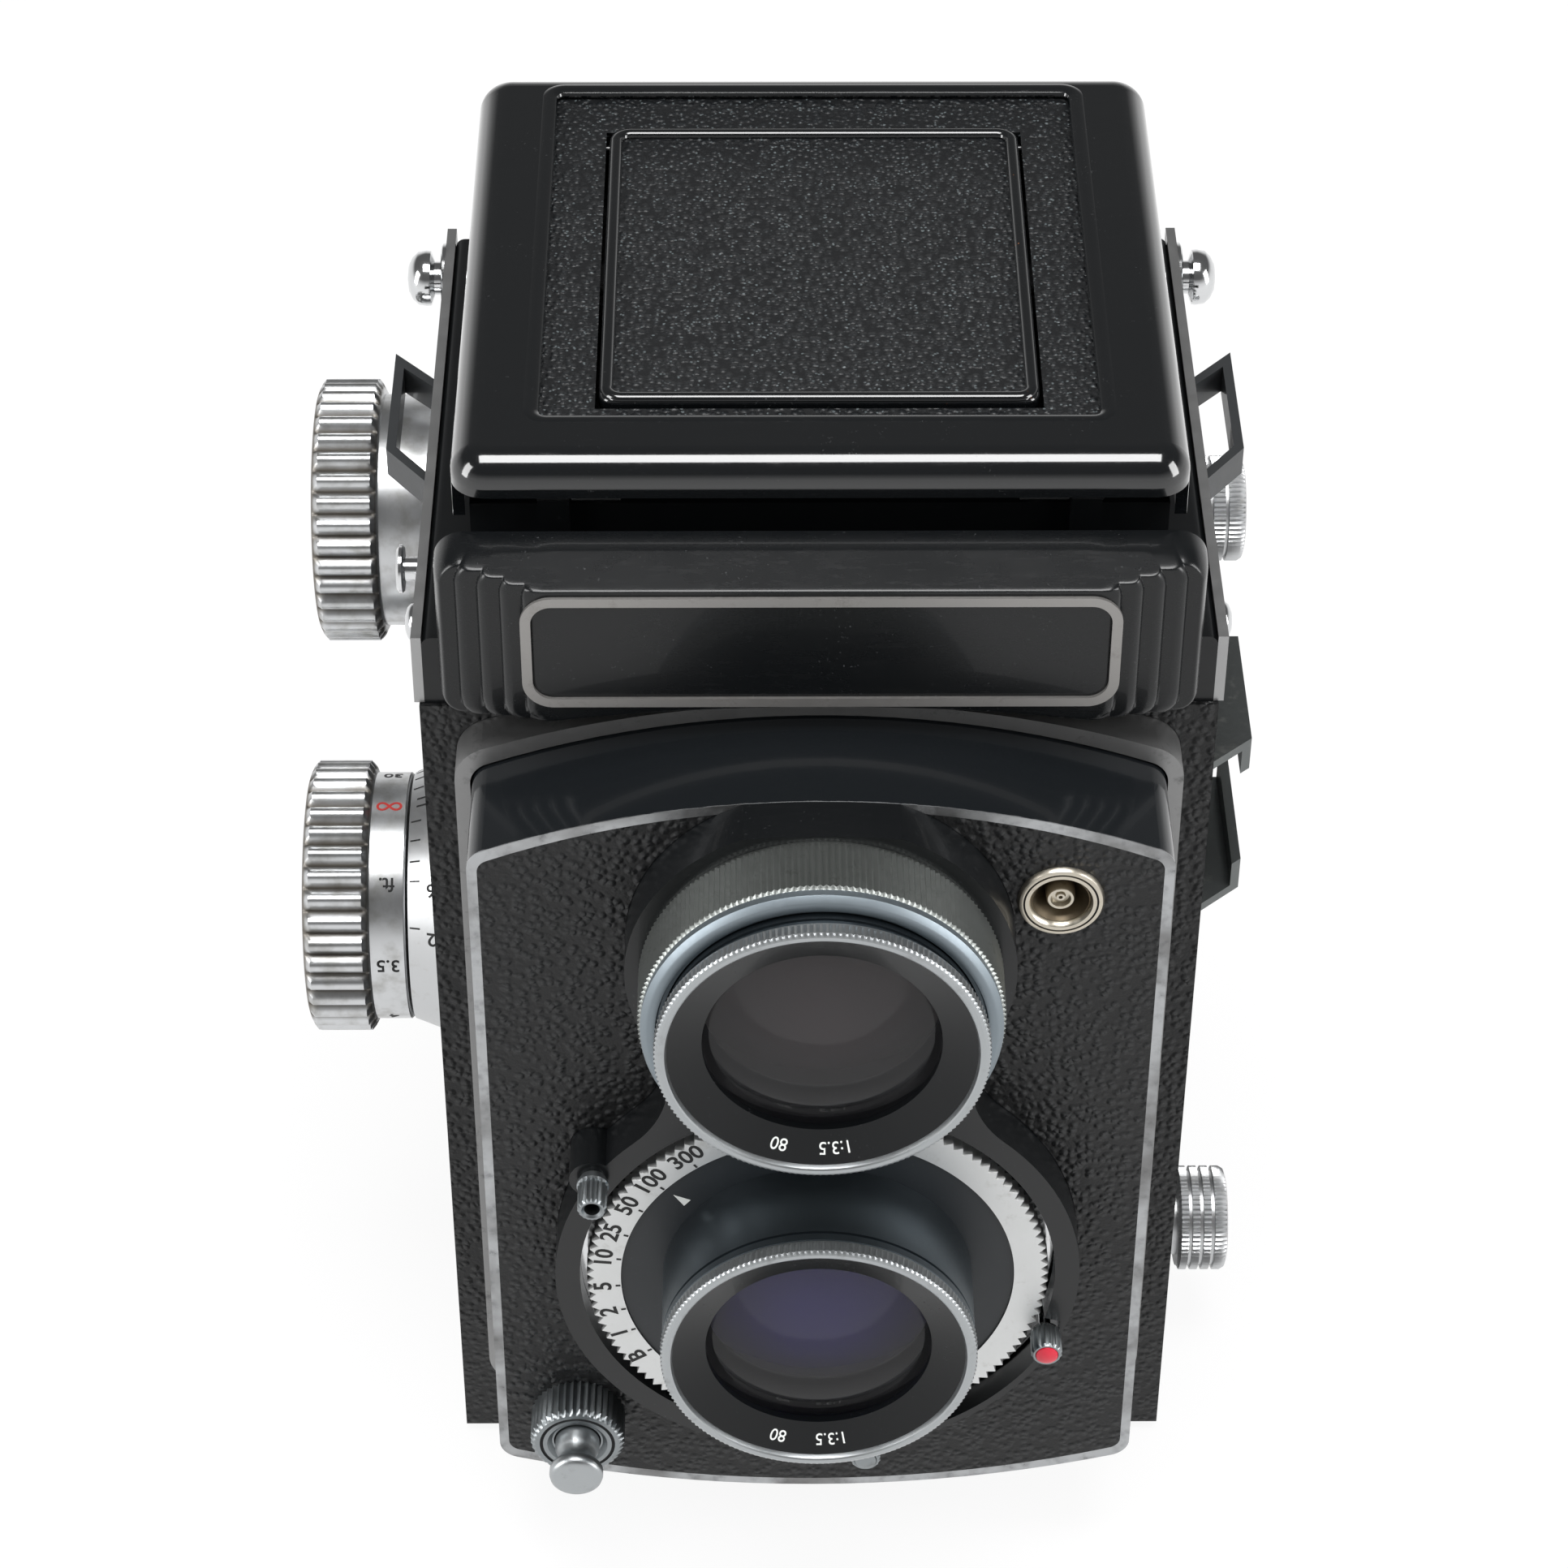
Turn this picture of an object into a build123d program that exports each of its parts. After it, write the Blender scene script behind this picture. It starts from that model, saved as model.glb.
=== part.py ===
from build123d import *
import os
from math import cos, pi, radians, sin, sqrt

# Twin lens reflex camera for 120 roll film, in millimetres, +Z up.
# The origin is the mouth of the tripod socket, under the middle of the body.
# -Y is the lens side, +X is the side with the accessory shoe.

# Body casting
BODY_WIDTH = 78.0
BODY_DEPTH = 71.0
BODY_HEIGHT = 114.6
WALL = 2.0
FLOOR_WALL = 1.5
DECK = 3.0
LEATHER = 0.5
FOOT_HEIGHT = 1.2
FOOT_RADIUS = 3.2
FOOT_INSET = 6.0
SHEET = 0.6
EDGE_ROUND = 1.0

# Fits
RUNNING = 0.05
SLIDE_GAP = 0.2
FREE_GAP = 0.3

# Lens axes and the moving lens board
TAKING_Z = 48.8
LENS_SPACING = 42.3
BOARD_HALF_WIDTH = 33.9
BOARD_SIDE_LOW = 15.8
BOARD_SIDE_HIGH = 102.0
BOARD_BOTTOM_ARCH = 5.2
BOARD_TOP_ARCH = 6.8
BOARD_CORNER = 2.5
BOARD_FRONT = 17.5
BOARD_PLATE = 1.6
BOARD_WALL = 1.2
BOARD_SKIRT = 3.2
BOARD_BORDER = 1.0
BOARD_RECESS = 0.4
BOARD_TRAVEL = 6.5
COLLAR_WALL = 1.7
COLLAR_STAND = 5.0

# Shutter housing and its rings
HOUSING_RADIUS = 26.8
HOUSING_UPPER_RADIUS = 18.9
HOUSING_NECK = 11.0
HOUSING_STAND = 5.0
HOUSING_RIM = 2.5
RING_BORE = 20.1
SPEED_RING_RADIUS = 23.6
SPEED_RING_THICK = 1.8
SPEED_RING_PROUD = 0.1
LEVER_RING_RADIUS = 25.8
LEVER_RING_THICK = 0.6
LEVER_KNOB_PITCH = 25.0
LEVER_KNOB_RADIUS = 1.45
LEVER_KNOB_LENGTH = 3.0
COCKING_ANGLE = -19.0
COCKING_SWEEP = 36.0
APERTURE_ANGLE = -78.0
APERTURE_SWEEP = 28.0
LEVER_SLOT_SPARE = 4.0
CASE_RADIUS = 21.8
CASE_LENGTH = 9.0
CASE_WALL = 1.2
BLADE_THICK = 0.15
BLADE_PITCH = 15.5
BLADE_PIVOT_TURN = 55.0
BLADE_GATE = 8.2

# Lens heads
BARREL_RADIUS = 15.8
RIM_RADIUS = 16.0
RIM_LENGTH = 1.7
HEAD_FRONT = 34.0
BARREL_WALL = 1.6
BARREL_STEP = 0.6
VIEW_BARREL_BACK = -10.0
NAME_RING_BORE = 11.4
NAME_RING_THICK = 1.2
ELEMENT_THICK = 2.0
ELEMENT_DOME = 2.6
VIEW_RING_RADIUS = 17.55
VIEW_RING_LENGTH = 8.3

# Small fittings on the board
FLASH_X = 23.1
FLASH_Z = 96.3
FLASH_RADIUS = 4.2
FLASH_BORE = 2.7
FLASH_PIN = 0.6
FLASH_LIP = 0.8
FLASH_STAND = 0.6
FLASH_TAIL = 2.0
FLASH_SLEEVE = 1.4
RELEASE_X = -25.3
RELEASE_Z = 22.5
RELEASE_COLLAR = 5.0
RELEASE_STAND = 4.5
RELEASE_STEM = 2.4
RELEASE_HEAD = 2.85
RELEASE_HEAD_THICK = 2.0
RELEASE_FRONT = 27.0
CABLE_X = -22.6
CABLE_Z = 63.1
CABLE_RADIUS = 1.4
CABLE_BORE = 0.8
CABLE_FRONT = 26.8
CABLE_LUG = 2.4

# Nameplate housing over the lens board
PLATE_HALF_WIDTH = 36.8
PLATE_STAND = 7.0
PLATE_TOP = 127.1
PLATE_FLAT_FRONT = 2.3
PLATE_FLAT_REAR = 0.6
PLATE_BEVEL = 1.4
PLATE_SIDE_LOW = 107.3
PLATE_LOW_GAP = 0.3
PLATE_CORNER = 3.0
FRAME_HALF_WIDTH = 28.4
FRAME_LOW = 112.0
FRAME_HIGH = 125.1
FRAME_LINE = 1.0
FRAME_PROUD = 0.35
FRAME_CORNER = 3.0

# Focusing drive
FOCUS_Y = 25.0
FOCUS_Z = 58.7
FOCUS_RADIUS = 14.7
FOCUS_BAND = 7.1
FOCUS_OUTER_X = 54.3
FOCUS_BARREL_RADIUS = 13.4
FOCUS_BARREL_INNER_X = 43.4
SCALE_CONE_SMALL = 13.4
SCALE_CONE_LARGE = 15.2
FOCUS_SHAFT = 3.0
CAM_SMALL = 6.0
CAM_THICK = 2.2
FOCUS_TURN = 280.0
CAM_RETURN = 60.0
FOLLOWER_PIN = 1.0

# Film transport
WIND_Y = 54.0
WIND_Z = 89.3
WIND_RADIUS = 14.3
WIND_BAND = 7.1
WIND_OUTER_X = 53.5
WIND_BARREL_RADIUS = 12.6
WIND_BARREL_INNER_X = 39.4
WIND_SHAFT = 3.0
SPOOL_RADIUS = 12.4
SPOOL_LENGTH = 65.5
SPOOL_CORE = 5.0
SPOOL_BORE = 2.9
SPOOL_FLANGE = 1.0
SPOOL_KEY_DEPTH = 4.0
FEED_Y = 17.5
FEED_Z = 15.6
PULL_UPPER_RADIUS = 5.75
PULL_LOWER_RADIUS = 5.9
PULL_OUTER_X = 47.2
PULL_LENGTH = 5.7
PULL_NECK = 4.2
PULL_SHAFT = 2.2
BUSH_STAND = 1.0
ROLLER_Y = 62.4
ROLLER_Z = 16.2
ROLLER_RADIUS = 2.0
ROLLER_PIN = 1.0

# Inner chambers
BULKHEAD_FRONT = 3.7
BULKHEAD = 1.2
FILM_Y = 63.0
GATE = 56.0
GATE_PLATE = 1.5
GATE_BORDER = 1.5
CHAMBER_MOUTH = 15.0
CHAMBER_WALL = 1.0
TAKING_HOLE = 13.5
VIEWING_HOLE = 18.5
MIRROR_Y = 34.5
MIRROR_HALF_RUN = 20.0
MIRROR_HALF_WIDTH = 26.0
MIRROR_THICK = 1.0
MIRROR_PLATE = 0.8
SCREEN = 56.0
SCREEN_THICK = 1.5
SCREEN_LEDGE = 1.0

# Focusing hood
HOOD_HALF_WIDTH = 35.2
HOOD_FRONT = 2.5
HOOD_REAR = 72.5
HOOD_TOP = 133.5
HOOD_SKIRT = 7.9
HOOD_FRONT_SKIRT = 4.0
HOOD_WALL = 1.1
HOOD_ROUND = 3.5
RECESS_HALF_WIDTH = 27.6
RECESS_FRONT = 10.0
RECESS_REAR = 69.0
RECESS_DEPTH = 1.5
RECESS_FLOOR = 1.2
RECESS_ROUND = 1.5
FLAP_HALF_WIDTH = 21.2
FLAP_FRONT = 13.2
FLAP_REAR = 61.5
FLAP_GAP = 0.4
FLAP_RIM = 1.3
FLAP_THICK = 2.3
FLAP_SINK = 0.3
BASE_HALF_WIDTH = 33.6
BASE_FRONT = 6.4
BASE_REAR = 69.0
BASE_TOP = 126.0
BASE_WALL = 1.2
HINGE_Y = 5.5
HINGE_Z = 128.6
PIN = 0.7
KNUCKLE = 1.3
BASE_EAR_NEAR = 24.0
BASE_EAR_FAR = 27.0
LID_EAR_NEAR = 19.0
LEAF_THICK = 0.5
LEAF_HINGE_X = 31.0
LEFT_LEAF_Z = 119.0
LEAF_STEP = 1.7
LEAF_HEIGHT = 32.0
LEAF_BASE_FRONT = 9.0
LEAF_BASE_REAR = 65.6
LEAF_TIP_FRONT = 30.0
LEAF_TIP_REAR = 36.5
REAR_LEAF_HEIGHT = 31.0
REAR_LEAF_HALF_WIDTH = 29.0
MAGNIFIER_Y = 39.5
MAGNIFIER_Z = 128.3
MAGNIFIER_THICK = 1.6
MAGNIFIER_HALF_WIDTH = 14.5
MAGNIFIER_BAR = 23.0
MAGNIFIER_REACH = 27.0
MAGNIFIER_LENS = 11.5

# Back
BACK_THICK = 1.5
BACK_TOP = 109.6
BACK_HINGE_Y = 71.9
BACK_HINGE_Z = 111.4
BACK_KNUCKLE = 1.6
BODY_KNUCKLE_NEAR = 12.0
BODY_KNUCKLE_FAR = 22.0
BACK_PIN_REACH = 30.0
BACK_LIP = 2.4
BACK_GAP = 0.05
BACK_LIP_WALL = 0.8
PRESSURE_HALF_WIDTH = 31.0
PRESSURE_LOW = 19.6
PRESSURE_HIGH = 80.0
PRESSURE_PLATE = 1.0
PRESSURE_GAP = 0.4
PRESSURE_TRAVEL = 1.2
PRESSURE_POST = 1.5
PRESSURE_POST_PITCH = 12.0
WINDOW_Z = 30.0
WINDOW_RADIUS = 4.5
COVER_HALF = 6.5
COVER_TRAVEL = 12.0
COVER_THICK = 0.8
LATCH_Y = 67.0
LATCH_Z = 9.0
LATCH_ROD = 1.2
LATCH_TRAVEL = 1.5
LATCH_THUMB = 4.0
LATCH_NECK = 1.4

# Outside fittings
RAIL_HEIGHT = 8.0
RAIL_THICK = 1.0
LOOP_FRONT = 28.0
LOOP_OUT_FRONT = 34.5
LOOP_OUT_REAR = 51.5
LOOP_REAR = 46.0
LOOP_REACH = 4.6
LOOP_STRIP = 1.0
LOOP_HEIGHT = 3.2
LOOP_Z = 108.6
STUD_Y = 66.8
STUD_Z = 111.0
STUD_RADIUS = 3.0
STUD_REACH = 2.8
STUD_NECK = 1.8
WASHER_RADIUS = 3.8
WASHER_THICK = 0.5
RAIL_SCREW_Y = 7.0
RAIL_SCREW_RADIUS = 2.0
SHOE_LOW = 71.3
SHOE_HIGH = 91.7
SHOE_FRONT = 6.8
SHOE_LIP_FRONT = 12.0
SHOE_REAR = 28.6
SHOE_OUTER_X = 44.4
SHOE_LIP = 3.0
SHOE_SHEET = 1.0
SOCKET_RADIUS = 2.65
SOCKET_DEPTH = 6.0
SOCKET_BOSS = 6.5

# Places that follow from the sizes above
FRONT = -BODY_DEPTH / 2
HALF_WIDTH = BODY_WIDTH / 2
SHELL_HALF = HALF_WIDTH - LEATHER
INNER_HALF = SHELL_HALF - WALL
VIEWING_Z = TAKING_Z + LENS_SPACING
SHELL_REAR = BODY_DEPTH - LEATHER - BACK_THICK
FLOOR_TOP = FOOT_HEIGHT + FLOOR_WALL
HOUSING_BACK = -BOARD_FRONT + BOARD_RECESS
HOUSING_FACE = -BOARD_FRONT - HOUSING_STAND


def deep(near, far):
    """Y range from two depths behind the front face of the body."""
    return (FRONT + near, FRONT + far)


def block(x, y, z):
    """Box between three pairs of limits."""
    size = Box(x[1] - x[0], y[1] - y[0], z[1] - z[0])
    return Pos((x[0] + x[1]) / 2, (y[0] + y[1]) / 2, (z[0] + z[1]) / 2) * size


def rod_x(radius, x, y, z):
    """Cylinder along X between two x limits."""
    return Pos((x[0] + x[1]) / 2, y, z) * Rot(0, 90, 0) * Cylinder(radius, x[1] - x[0])


def rod_y(radius, x, y, z):
    """Cylinder along Y between two y limits."""
    return Pos(x, (y[0] + y[1]) / 2, z) * Rot(90, 0, 0) * Cylinder(radius, y[1] - y[0])


def rod_z(radius, x, y, z):
    """Cylinder along Z between two z limits."""
    return Pos(x, y, (z[0] + z[1]) / 2) * Cylinder(radius, z[1] - z[0])


def slab(outline, y):
    """Outline drawn in X and Z, given a thickness between two y limits."""
    place = Plane(origin=(0, y[1], 0), x_dir=(1, 0, 0), z_dir=(0, -1, 0))
    return extrude(place * outline, amount=y[1] - y[0])


def plate_x(points, x):
    """Polygon of (y, z) points, given a thickness between two x limits."""
    place = Plane(origin=(x[0], 0, 0), x_dir=(0, 1, 0), z_dir=(1, 0, 0))
    return extrude(place * make_face(Polyline(*points, close=True)), amount=x[1] - x[0])


def plate_z(points, z):
    """Polygon of (x, y) points, given a thickness between two z limits."""
    place = Plane(origin=(0, 0, z[0]), x_dir=(1, 0, 0), z_dir=(0, 0, 1))
    return extrude(place * make_face(Polyline(*points, close=True)), amount=z[1] - z[0])


def ring_y(outer, bore, x, y, z):
    """Ring about an axis along Y."""
    return rod_y(outer, x, y, z) - rod_y(bore, x, y, z)


def polar(radius, angle):
    """X and Z of a point about the taking axis, seen from the front."""
    return (radius * cos(radians(angle)), TAKING_Z + radius * sin(radians(angle)))


def arched(grow):
    """Outline of the lens board, its top and bottom arched, grown all round."""
    half = BOARD_HALF_WIDTH + grow
    low = BOARD_SIDE_LOW - grow
    high = BOARD_SIDE_HIGH + grow
    bottom = ThreePointArc((-half, low), (0, low - BOARD_BOTTOM_ARCH), (half, low))
    right = Line((half, low), (half, high))
    top = ThreePointArc((half, high), (0, high + BOARD_TOP_ARCH), (-half, high))
    left = Line((-half, high), (-half, low))
    face = make_face([bottom, right, top, left])
    return fillet(face.vertices(), max(BOARD_CORNER + grow, 0.4))


def housing_outline(grow):
    """A large and a small disc one above the other, their waist filled with arcs."""
    large = Pos(0, TAKING_Z) * Circle(HOUSING_RADIUS + grow)
    small = Pos(0, VIEWING_Z) * Circle(HOUSING_UPPER_RADIUS + grow)
    both = large + small
    both = fillet(both.vertices(), HOUSING_NECK)
    return both + Pos(CABLE_X, CABLE_Z) * Circle(CABLE_LUG + grow)


def ring_slot(start, end, y):
    """Arc-shaped slot for a lever knob, about the taking axis."""
    half = LEVER_KNOB_RADIUS - 0.4
    outer = LEVER_KNOB_PITCH + half
    inner = LEVER_KNOB_PITCH - half
    middle = (start + end) / 2
    arcs = [ThreePointArc(polar(outer, start), polar(outer, middle), polar(outer, end))]
    arcs.append(Line(polar(outer, end), polar(inner, end)))
    arcs.append(ThreePointArc(polar(inner, end), polar(inner, middle), polar(inner, start)))
    arcs.append(Line(polar(inner, start), polar(outer, start)))
    return slab(make_face(arcs), y)


def mirrored_pair(make):
    """One piece for each side of the camera, from a function of the side's sign."""
    return group([make(-1), make(1)])


def side(sign, near, far):
    """X range on one side, from two distances from the middle."""
    return (near, far) if sign > 0 else (-far, -near)


def save(shape, node):
    """Write one node as its own STEP file."""
    shape.label = node
    export_step(shape, "parts/" + node + ".step")


def group(pieces):
    """Several separate solids in one node."""
    return Compound(children=[solid for piece in pieces for solid in piece.solids()])


# Body casting and its coverings

def body_shell():
    shell = block((-SHELL_HALF, SHELL_HALF), deep(0, SHELL_REAR), (FOOT_HEIGHT, BODY_HEIGHT))
    shell = fillet(shell.edges().filter_by(Axis.Y).group_by(Axis.Z)[-1], EDGE_ROUND)
    inside = block((-INNER_HALF, INNER_HALF), deep(WALL, SHELL_REAR + 1), (FLOOR_TOP, BODY_HEIGHT - DECK))
    shell -= inside
    shell -= slab(arched(SLIDE_GAP), deep(-1, WALL + 1))
    screen = SCREEN / 2
    ledge = screen - SCREEN_LEDGE
    middle = MIRROR_Y + 1.0
    through_z = (BODY_HEIGHT - DECK - 1, BODY_HEIGHT + 1)
    through = block((-ledge, ledge), deep(middle - ledge, middle + ledge), through_z)
    seat_z = (BODY_HEIGHT - SCREEN_THICK, BODY_HEIGHT + 1)
    shell -= through
    shell -= block((-screen, screen), deep(middle - screen, middle + screen), seat_z)
    for y, z, radius in ((FEED_Y, FEED_Z, PULL_SHAFT), (WIND_Y, WIND_Z, PULL_SHAFT)):
        shell -= rod_x(radius + RUNNING, (INNER_HALF - 1, SHELL_HALF + 1), FRONT + y, z)
    shell -= rod_x(FOCUS_SHAFT + RUNNING, (-SHELL_HALF - 1, -INNER_HALF + 1), FRONT + FOCUS_Y, FOCUS_Z)
    shell -= rod_x(WIND_SHAFT + RUNNING, (-SHELL_HALF - 1, -INNER_HALF + 1), FRONT + WIND_Y, WIND_Z)
    roller_pin = INNER_HALF + 1.5
    shell -= rod_x(ROLLER_PIN + RUNNING, (-roller_pin, roller_pin), FRONT + ROLLER_Y, ROLLER_Z)
    shell -= rod_z(SOCKET_BOSS, 0, 0, (FOOT_HEIGHT - 1, FLOOR_TOP + 1))
    shell -= rod_z(LATCH_ROD + SLIDE_GAP, 0, FRONT + LATCH_Y, (FOOT_HEIGHT - 1, FLOOR_TOP + 1))
    # Knuckles at the top of the rear edge, on which the back hangs.
    for sign in (-1, 1):
        knuckle_x = side(sign, BODY_KNUCKLE_NEAR, BODY_KNUCKLE_FAR)
        strap_z = (BACK_HINGE_Z - 0.5, BACK_HINGE_Z + BACK_KNUCKLE)
        strap = block(knuckle_x, deep(SHELL_REAR - 0.5, BACK_HINGE_Y), strap_z)
        knuckle = strap + rod_x(BACK_KNUCKLE, knuckle_x, FRONT + BACK_HINGE_Y, BACK_HINGE_Z)
        bore_x = side(sign, BODY_KNUCKLE_NEAR - 1, BODY_KNUCKLE_FAR + 1)
        shell += knuckle - rod_x(PIN + RUNNING, bore_x, FRONT + BACK_HINGE_Y, BACK_HINGE_Z)
    return shell


def side_leather(sign):
    """Grained covering of one side, cut round everything that passes through it."""
    rail_low = BODY_HEIGHT - RAIL_HEIGHT
    skin = block(side(sign, SHELL_HALF, HALF_WIDTH), deep(0, SHELL_REAR), (FOOT_HEIGHT, rail_low - 0.1))
    through = side(sign, SHELL_HALF - 1, HALF_WIDTH + 1)
    if sign < 0:
        skin -= rod_x(SCALE_CONE_LARGE, through, FRONT + FOCUS_Y, FOCUS_Z)
        skin -= rod_x(WIND_SHAFT + FREE_GAP, through, FRONT + WIND_Y, WIND_Z)
    else:
        skin -= rod_x(PULL_NECK + 1.5, through, FRONT + FEED_Y, FEED_Z)
        skin -= rod_x(PULL_NECK + 1.5, through, FRONT + WIND_Y, WIND_Z)
        skin -= block(through, deep(SHOE_FRONT, SHOE_REAR), (SHOE_LOW, SHOE_HIGH))
    return skin


def front_leather():
    """Grained strip of the body front, round the collar."""
    rail_low = BODY_HEIGHT - RAIL_HEIGHT
    skin = block((-HALF_WIDTH, HALF_WIDTH), deep(-LEATHER, 0), (FOOT_HEIGHT, rail_low - 0.1))
    return skin - slab(arched(COLLAR_WALL + 0.05), deep(-1, 1))


def lens_collar():
    outer = slab(arched(COLLAR_WALL), deep(-COLLAR_STAND, 0))
    return outer - slab(arched(SLIDE_GAP), deep(-COLLAR_STAND - 1, 1))


def base_plate():
    half = SHELL_HALF - 2.0
    plate = block((-half, half), deep(2.0, SHELL_REAR - 2.0), (FOOT_HEIGHT - SHEET, FOOT_HEIGHT))
    plate = fillet(plate.edges().filter_by(Axis.Z), 3.0)
    plate -= rod_z(SOCKET_BOSS, 0, 0, (0, FOOT_HEIGHT + 1))
    plate -= rod_z(LATCH_ROD + SLIDE_GAP, 0, FRONT + LATCH_Y, (0, FOOT_HEIGHT + 1))
    for x, y in foot_places():
        plate -= rod_z(FOOT_RADIUS, x, y, (0, FOOT_HEIGHT + 1))
    return plate


def foot_places():
    """Centres of the four feet."""
    x = SHELL_HALF - FOOT_INSET
    return [(sx * x, y) for sx in (-1, 1) for y in deep(FOOT_INSET, SHELL_REAR - FOOT_INSET)]


def feet():
    pads = [rod_z(FOOT_RADIUS, x, y, (0, FOOT_HEIGHT)) for x, y in foot_places()]
    return group(pads)


def tripod_bush():
    boss = rod_z(SOCKET_BOSS, 0, 0, (0, SOCKET_DEPTH + 1.5))
    flange = rod_z(SOCKET_BOSS + 2.0, 0, 0, (FLOOR_TOP, FLOOR_TOP + 1.0))
    return boss + flange - rod_z(SOCKET_RADIUS, 0, 0, (-1, SOCKET_DEPTH))


# Light-tight inner chambers

def front_bulkhead():
    """Inner front wall, with holes for the two light paths and a slot for the focus follower."""
    y = deep(BULKHEAD_FRONT, BULKHEAD_FRONT + BULKHEAD)
    cut_y = deep(BULKHEAD_FRONT - 1, BULKHEAD_FRONT + BULKHEAD + 1)
    wall = block((-INNER_HALF, INNER_HALF), y, (FLOOR_TOP, BODY_HEIGHT - DECK))
    wall -= rod_y(TAKING_HOLE, 0, cut_y, TAKING_Z)
    wall -= rod_y(VIEWING_HOLE, 0, cut_y, VIEWING_Z)
    return wall - block((-INNER_HALF + 0.2, -29.0), cut_y, (FOCUS_Z - 5.5, FOCUS_Z + 5.5))


def square(half, depth):
    """Square outline about the taking axis, at a depth."""
    place = Plane(origin=(0, FRONT + depth, TAKING_Z), x_dir=(1, 0, 0), z_dir=(0, -1, 0))
    return place * Rectangle(2 * half, 2 * half)


def dark_chamber():
    """Square cone from the bulkhead to the film gate."""
    near = BULKHEAD_FRONT + BULKHEAD
    far = FILM_Y - GATE_PLATE
    gate = GATE / 2
    outer = loft([square(CHAMBER_MOUTH, near), square(gate + CHAMBER_WALL, far)])
    inner = loft([square(CHAMBER_MOUTH - CHAMBER_WALL, near), square(gate, far)])
    return outer - inner


def film_gate():
    """Flat frame that the film lies on, reaching the side walls, with two rails."""
    half = GATE / 2 + GATE_BORDER
    y = deep(FILM_Y - GATE_PLATE, FILM_Y)
    plate = block((-INNER_HALF, INNER_HALF), y, (TAKING_Z - half, TAKING_Z + half))
    opening_z = (TAKING_Z - GATE / 2, TAKING_Z + GATE / 2)
    return plate - block((-GATE / 2, GATE / 2), deep(0, FILM_Y + 1), opening_z)


def guide_roller():
    half = INNER_HALF - FREE_GAP
    reach = INNER_HALF + 1.2
    barrel = rod_x(ROLLER_RADIUS, (-half, half), FRONT + ROLLER_Y, ROLLER_Z)
    return barrel + rod_x(ROLLER_PIN, (-reach, reach), FRONT + ROLLER_Y, ROLLER_Z)


def sloped(start, end, thickness, half_width, lift):
    """Plate at 45 degrees, rising to the rear, below and behind the mirror line."""
    rise = VIEWING_Z - MIRROR_Y
    drop = thickness / sqrt(2)
    away = lift / sqrt(2)
    points = []
    for y, push in ((start, away), (end, away), (end, away + drop), (start, away + drop)):
        points.append((FRONT + y + push, rise + y - push))
    return plate_x(points, (-half_width, half_width))


def mirror():
    start = MIRROR_Y - MIRROR_HALF_RUN
    return sloped(start, MIRROR_Y + MIRROR_HALF_RUN, MIRROR_THICK, MIRROR_HALF_WIDTH, 0)


def mirror_frame():
    """Sheet behind the mirror, from wall to wall, that parts the two chambers."""
    start = MIRROR_Y - MIRROR_HALF_RUN - 1.5
    end = MIRROR_Y + MIRROR_HALF_RUN + 1.0
    return sloped(start, end, MIRROR_PLATE, INNER_HALF, MIRROR_THICK)


def ground_glass():
    half = SCREEN / 2
    middle = MIRROR_Y + 1.0
    y = deep(middle - half, middle + half)
    return block((-half, half), y, (BODY_HEIGHT - SCREEN_THICK, BODY_HEIGHT))


# Lens board and what it carries

def lens_board():
    board = slab(arched(0), deep(-BOARD_FRONT, BOARD_SKIRT))
    board -= slab(arched(-BOARD_WALL), deep(-BOARD_FRONT + BOARD_PLATE, BOARD_SKIRT + 1))
    board -= slab(arched(-BOARD_BORDER), deep(-BOARD_FRONT - 1, HOUSING_BACK))
    cut = deep(-BOARD_FRONT - 1, -BOARD_FRONT + BOARD_PLATE + 1)
    board -= rod_y(BARREL_RADIUS, 0, cut, TAKING_Z)
    board -= rod_y(BARREL_RADIUS - BARREL_STEP, 0, cut, VIEWING_Z)
    board -= rod_y(FLASH_RADIUS - FLASH_LIP, FLASH_X, cut, FLASH_Z)
    board -= rod_y(RELEASE_STEM + RUNNING, RELEASE_X, cut, RELEASE_Z)
    return board


def board_leather():
    skin = slab(arched(-BOARD_BORDER), deep(-BOARD_FRONT, HOUSING_BACK))
    cut = deep(-BOARD_FRONT - 1, -BOARD_FRONT + 1)
    skin -= slab(housing_outline(0.05), cut)
    skin -= rod_y(FLASH_RADIUS, FLASH_X, cut, FLASH_Z)
    skin -= rod_y(RELEASE_STEM + RUNNING, RELEASE_X, cut, RELEASE_Z)
    return skin


def lever_planes():
    """Y planes of the pocket floor and of the two lever rings, front to back."""
    floor = HOUSING_BACK - 1.3
    cocking = (floor - 0.1 - LEVER_RING_THICK, floor - 0.1)
    aperture = (cocking[0] - 0.1 - LEVER_RING_THICK, cocking[0] - 0.1)
    return floor, cocking, aperture


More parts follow.
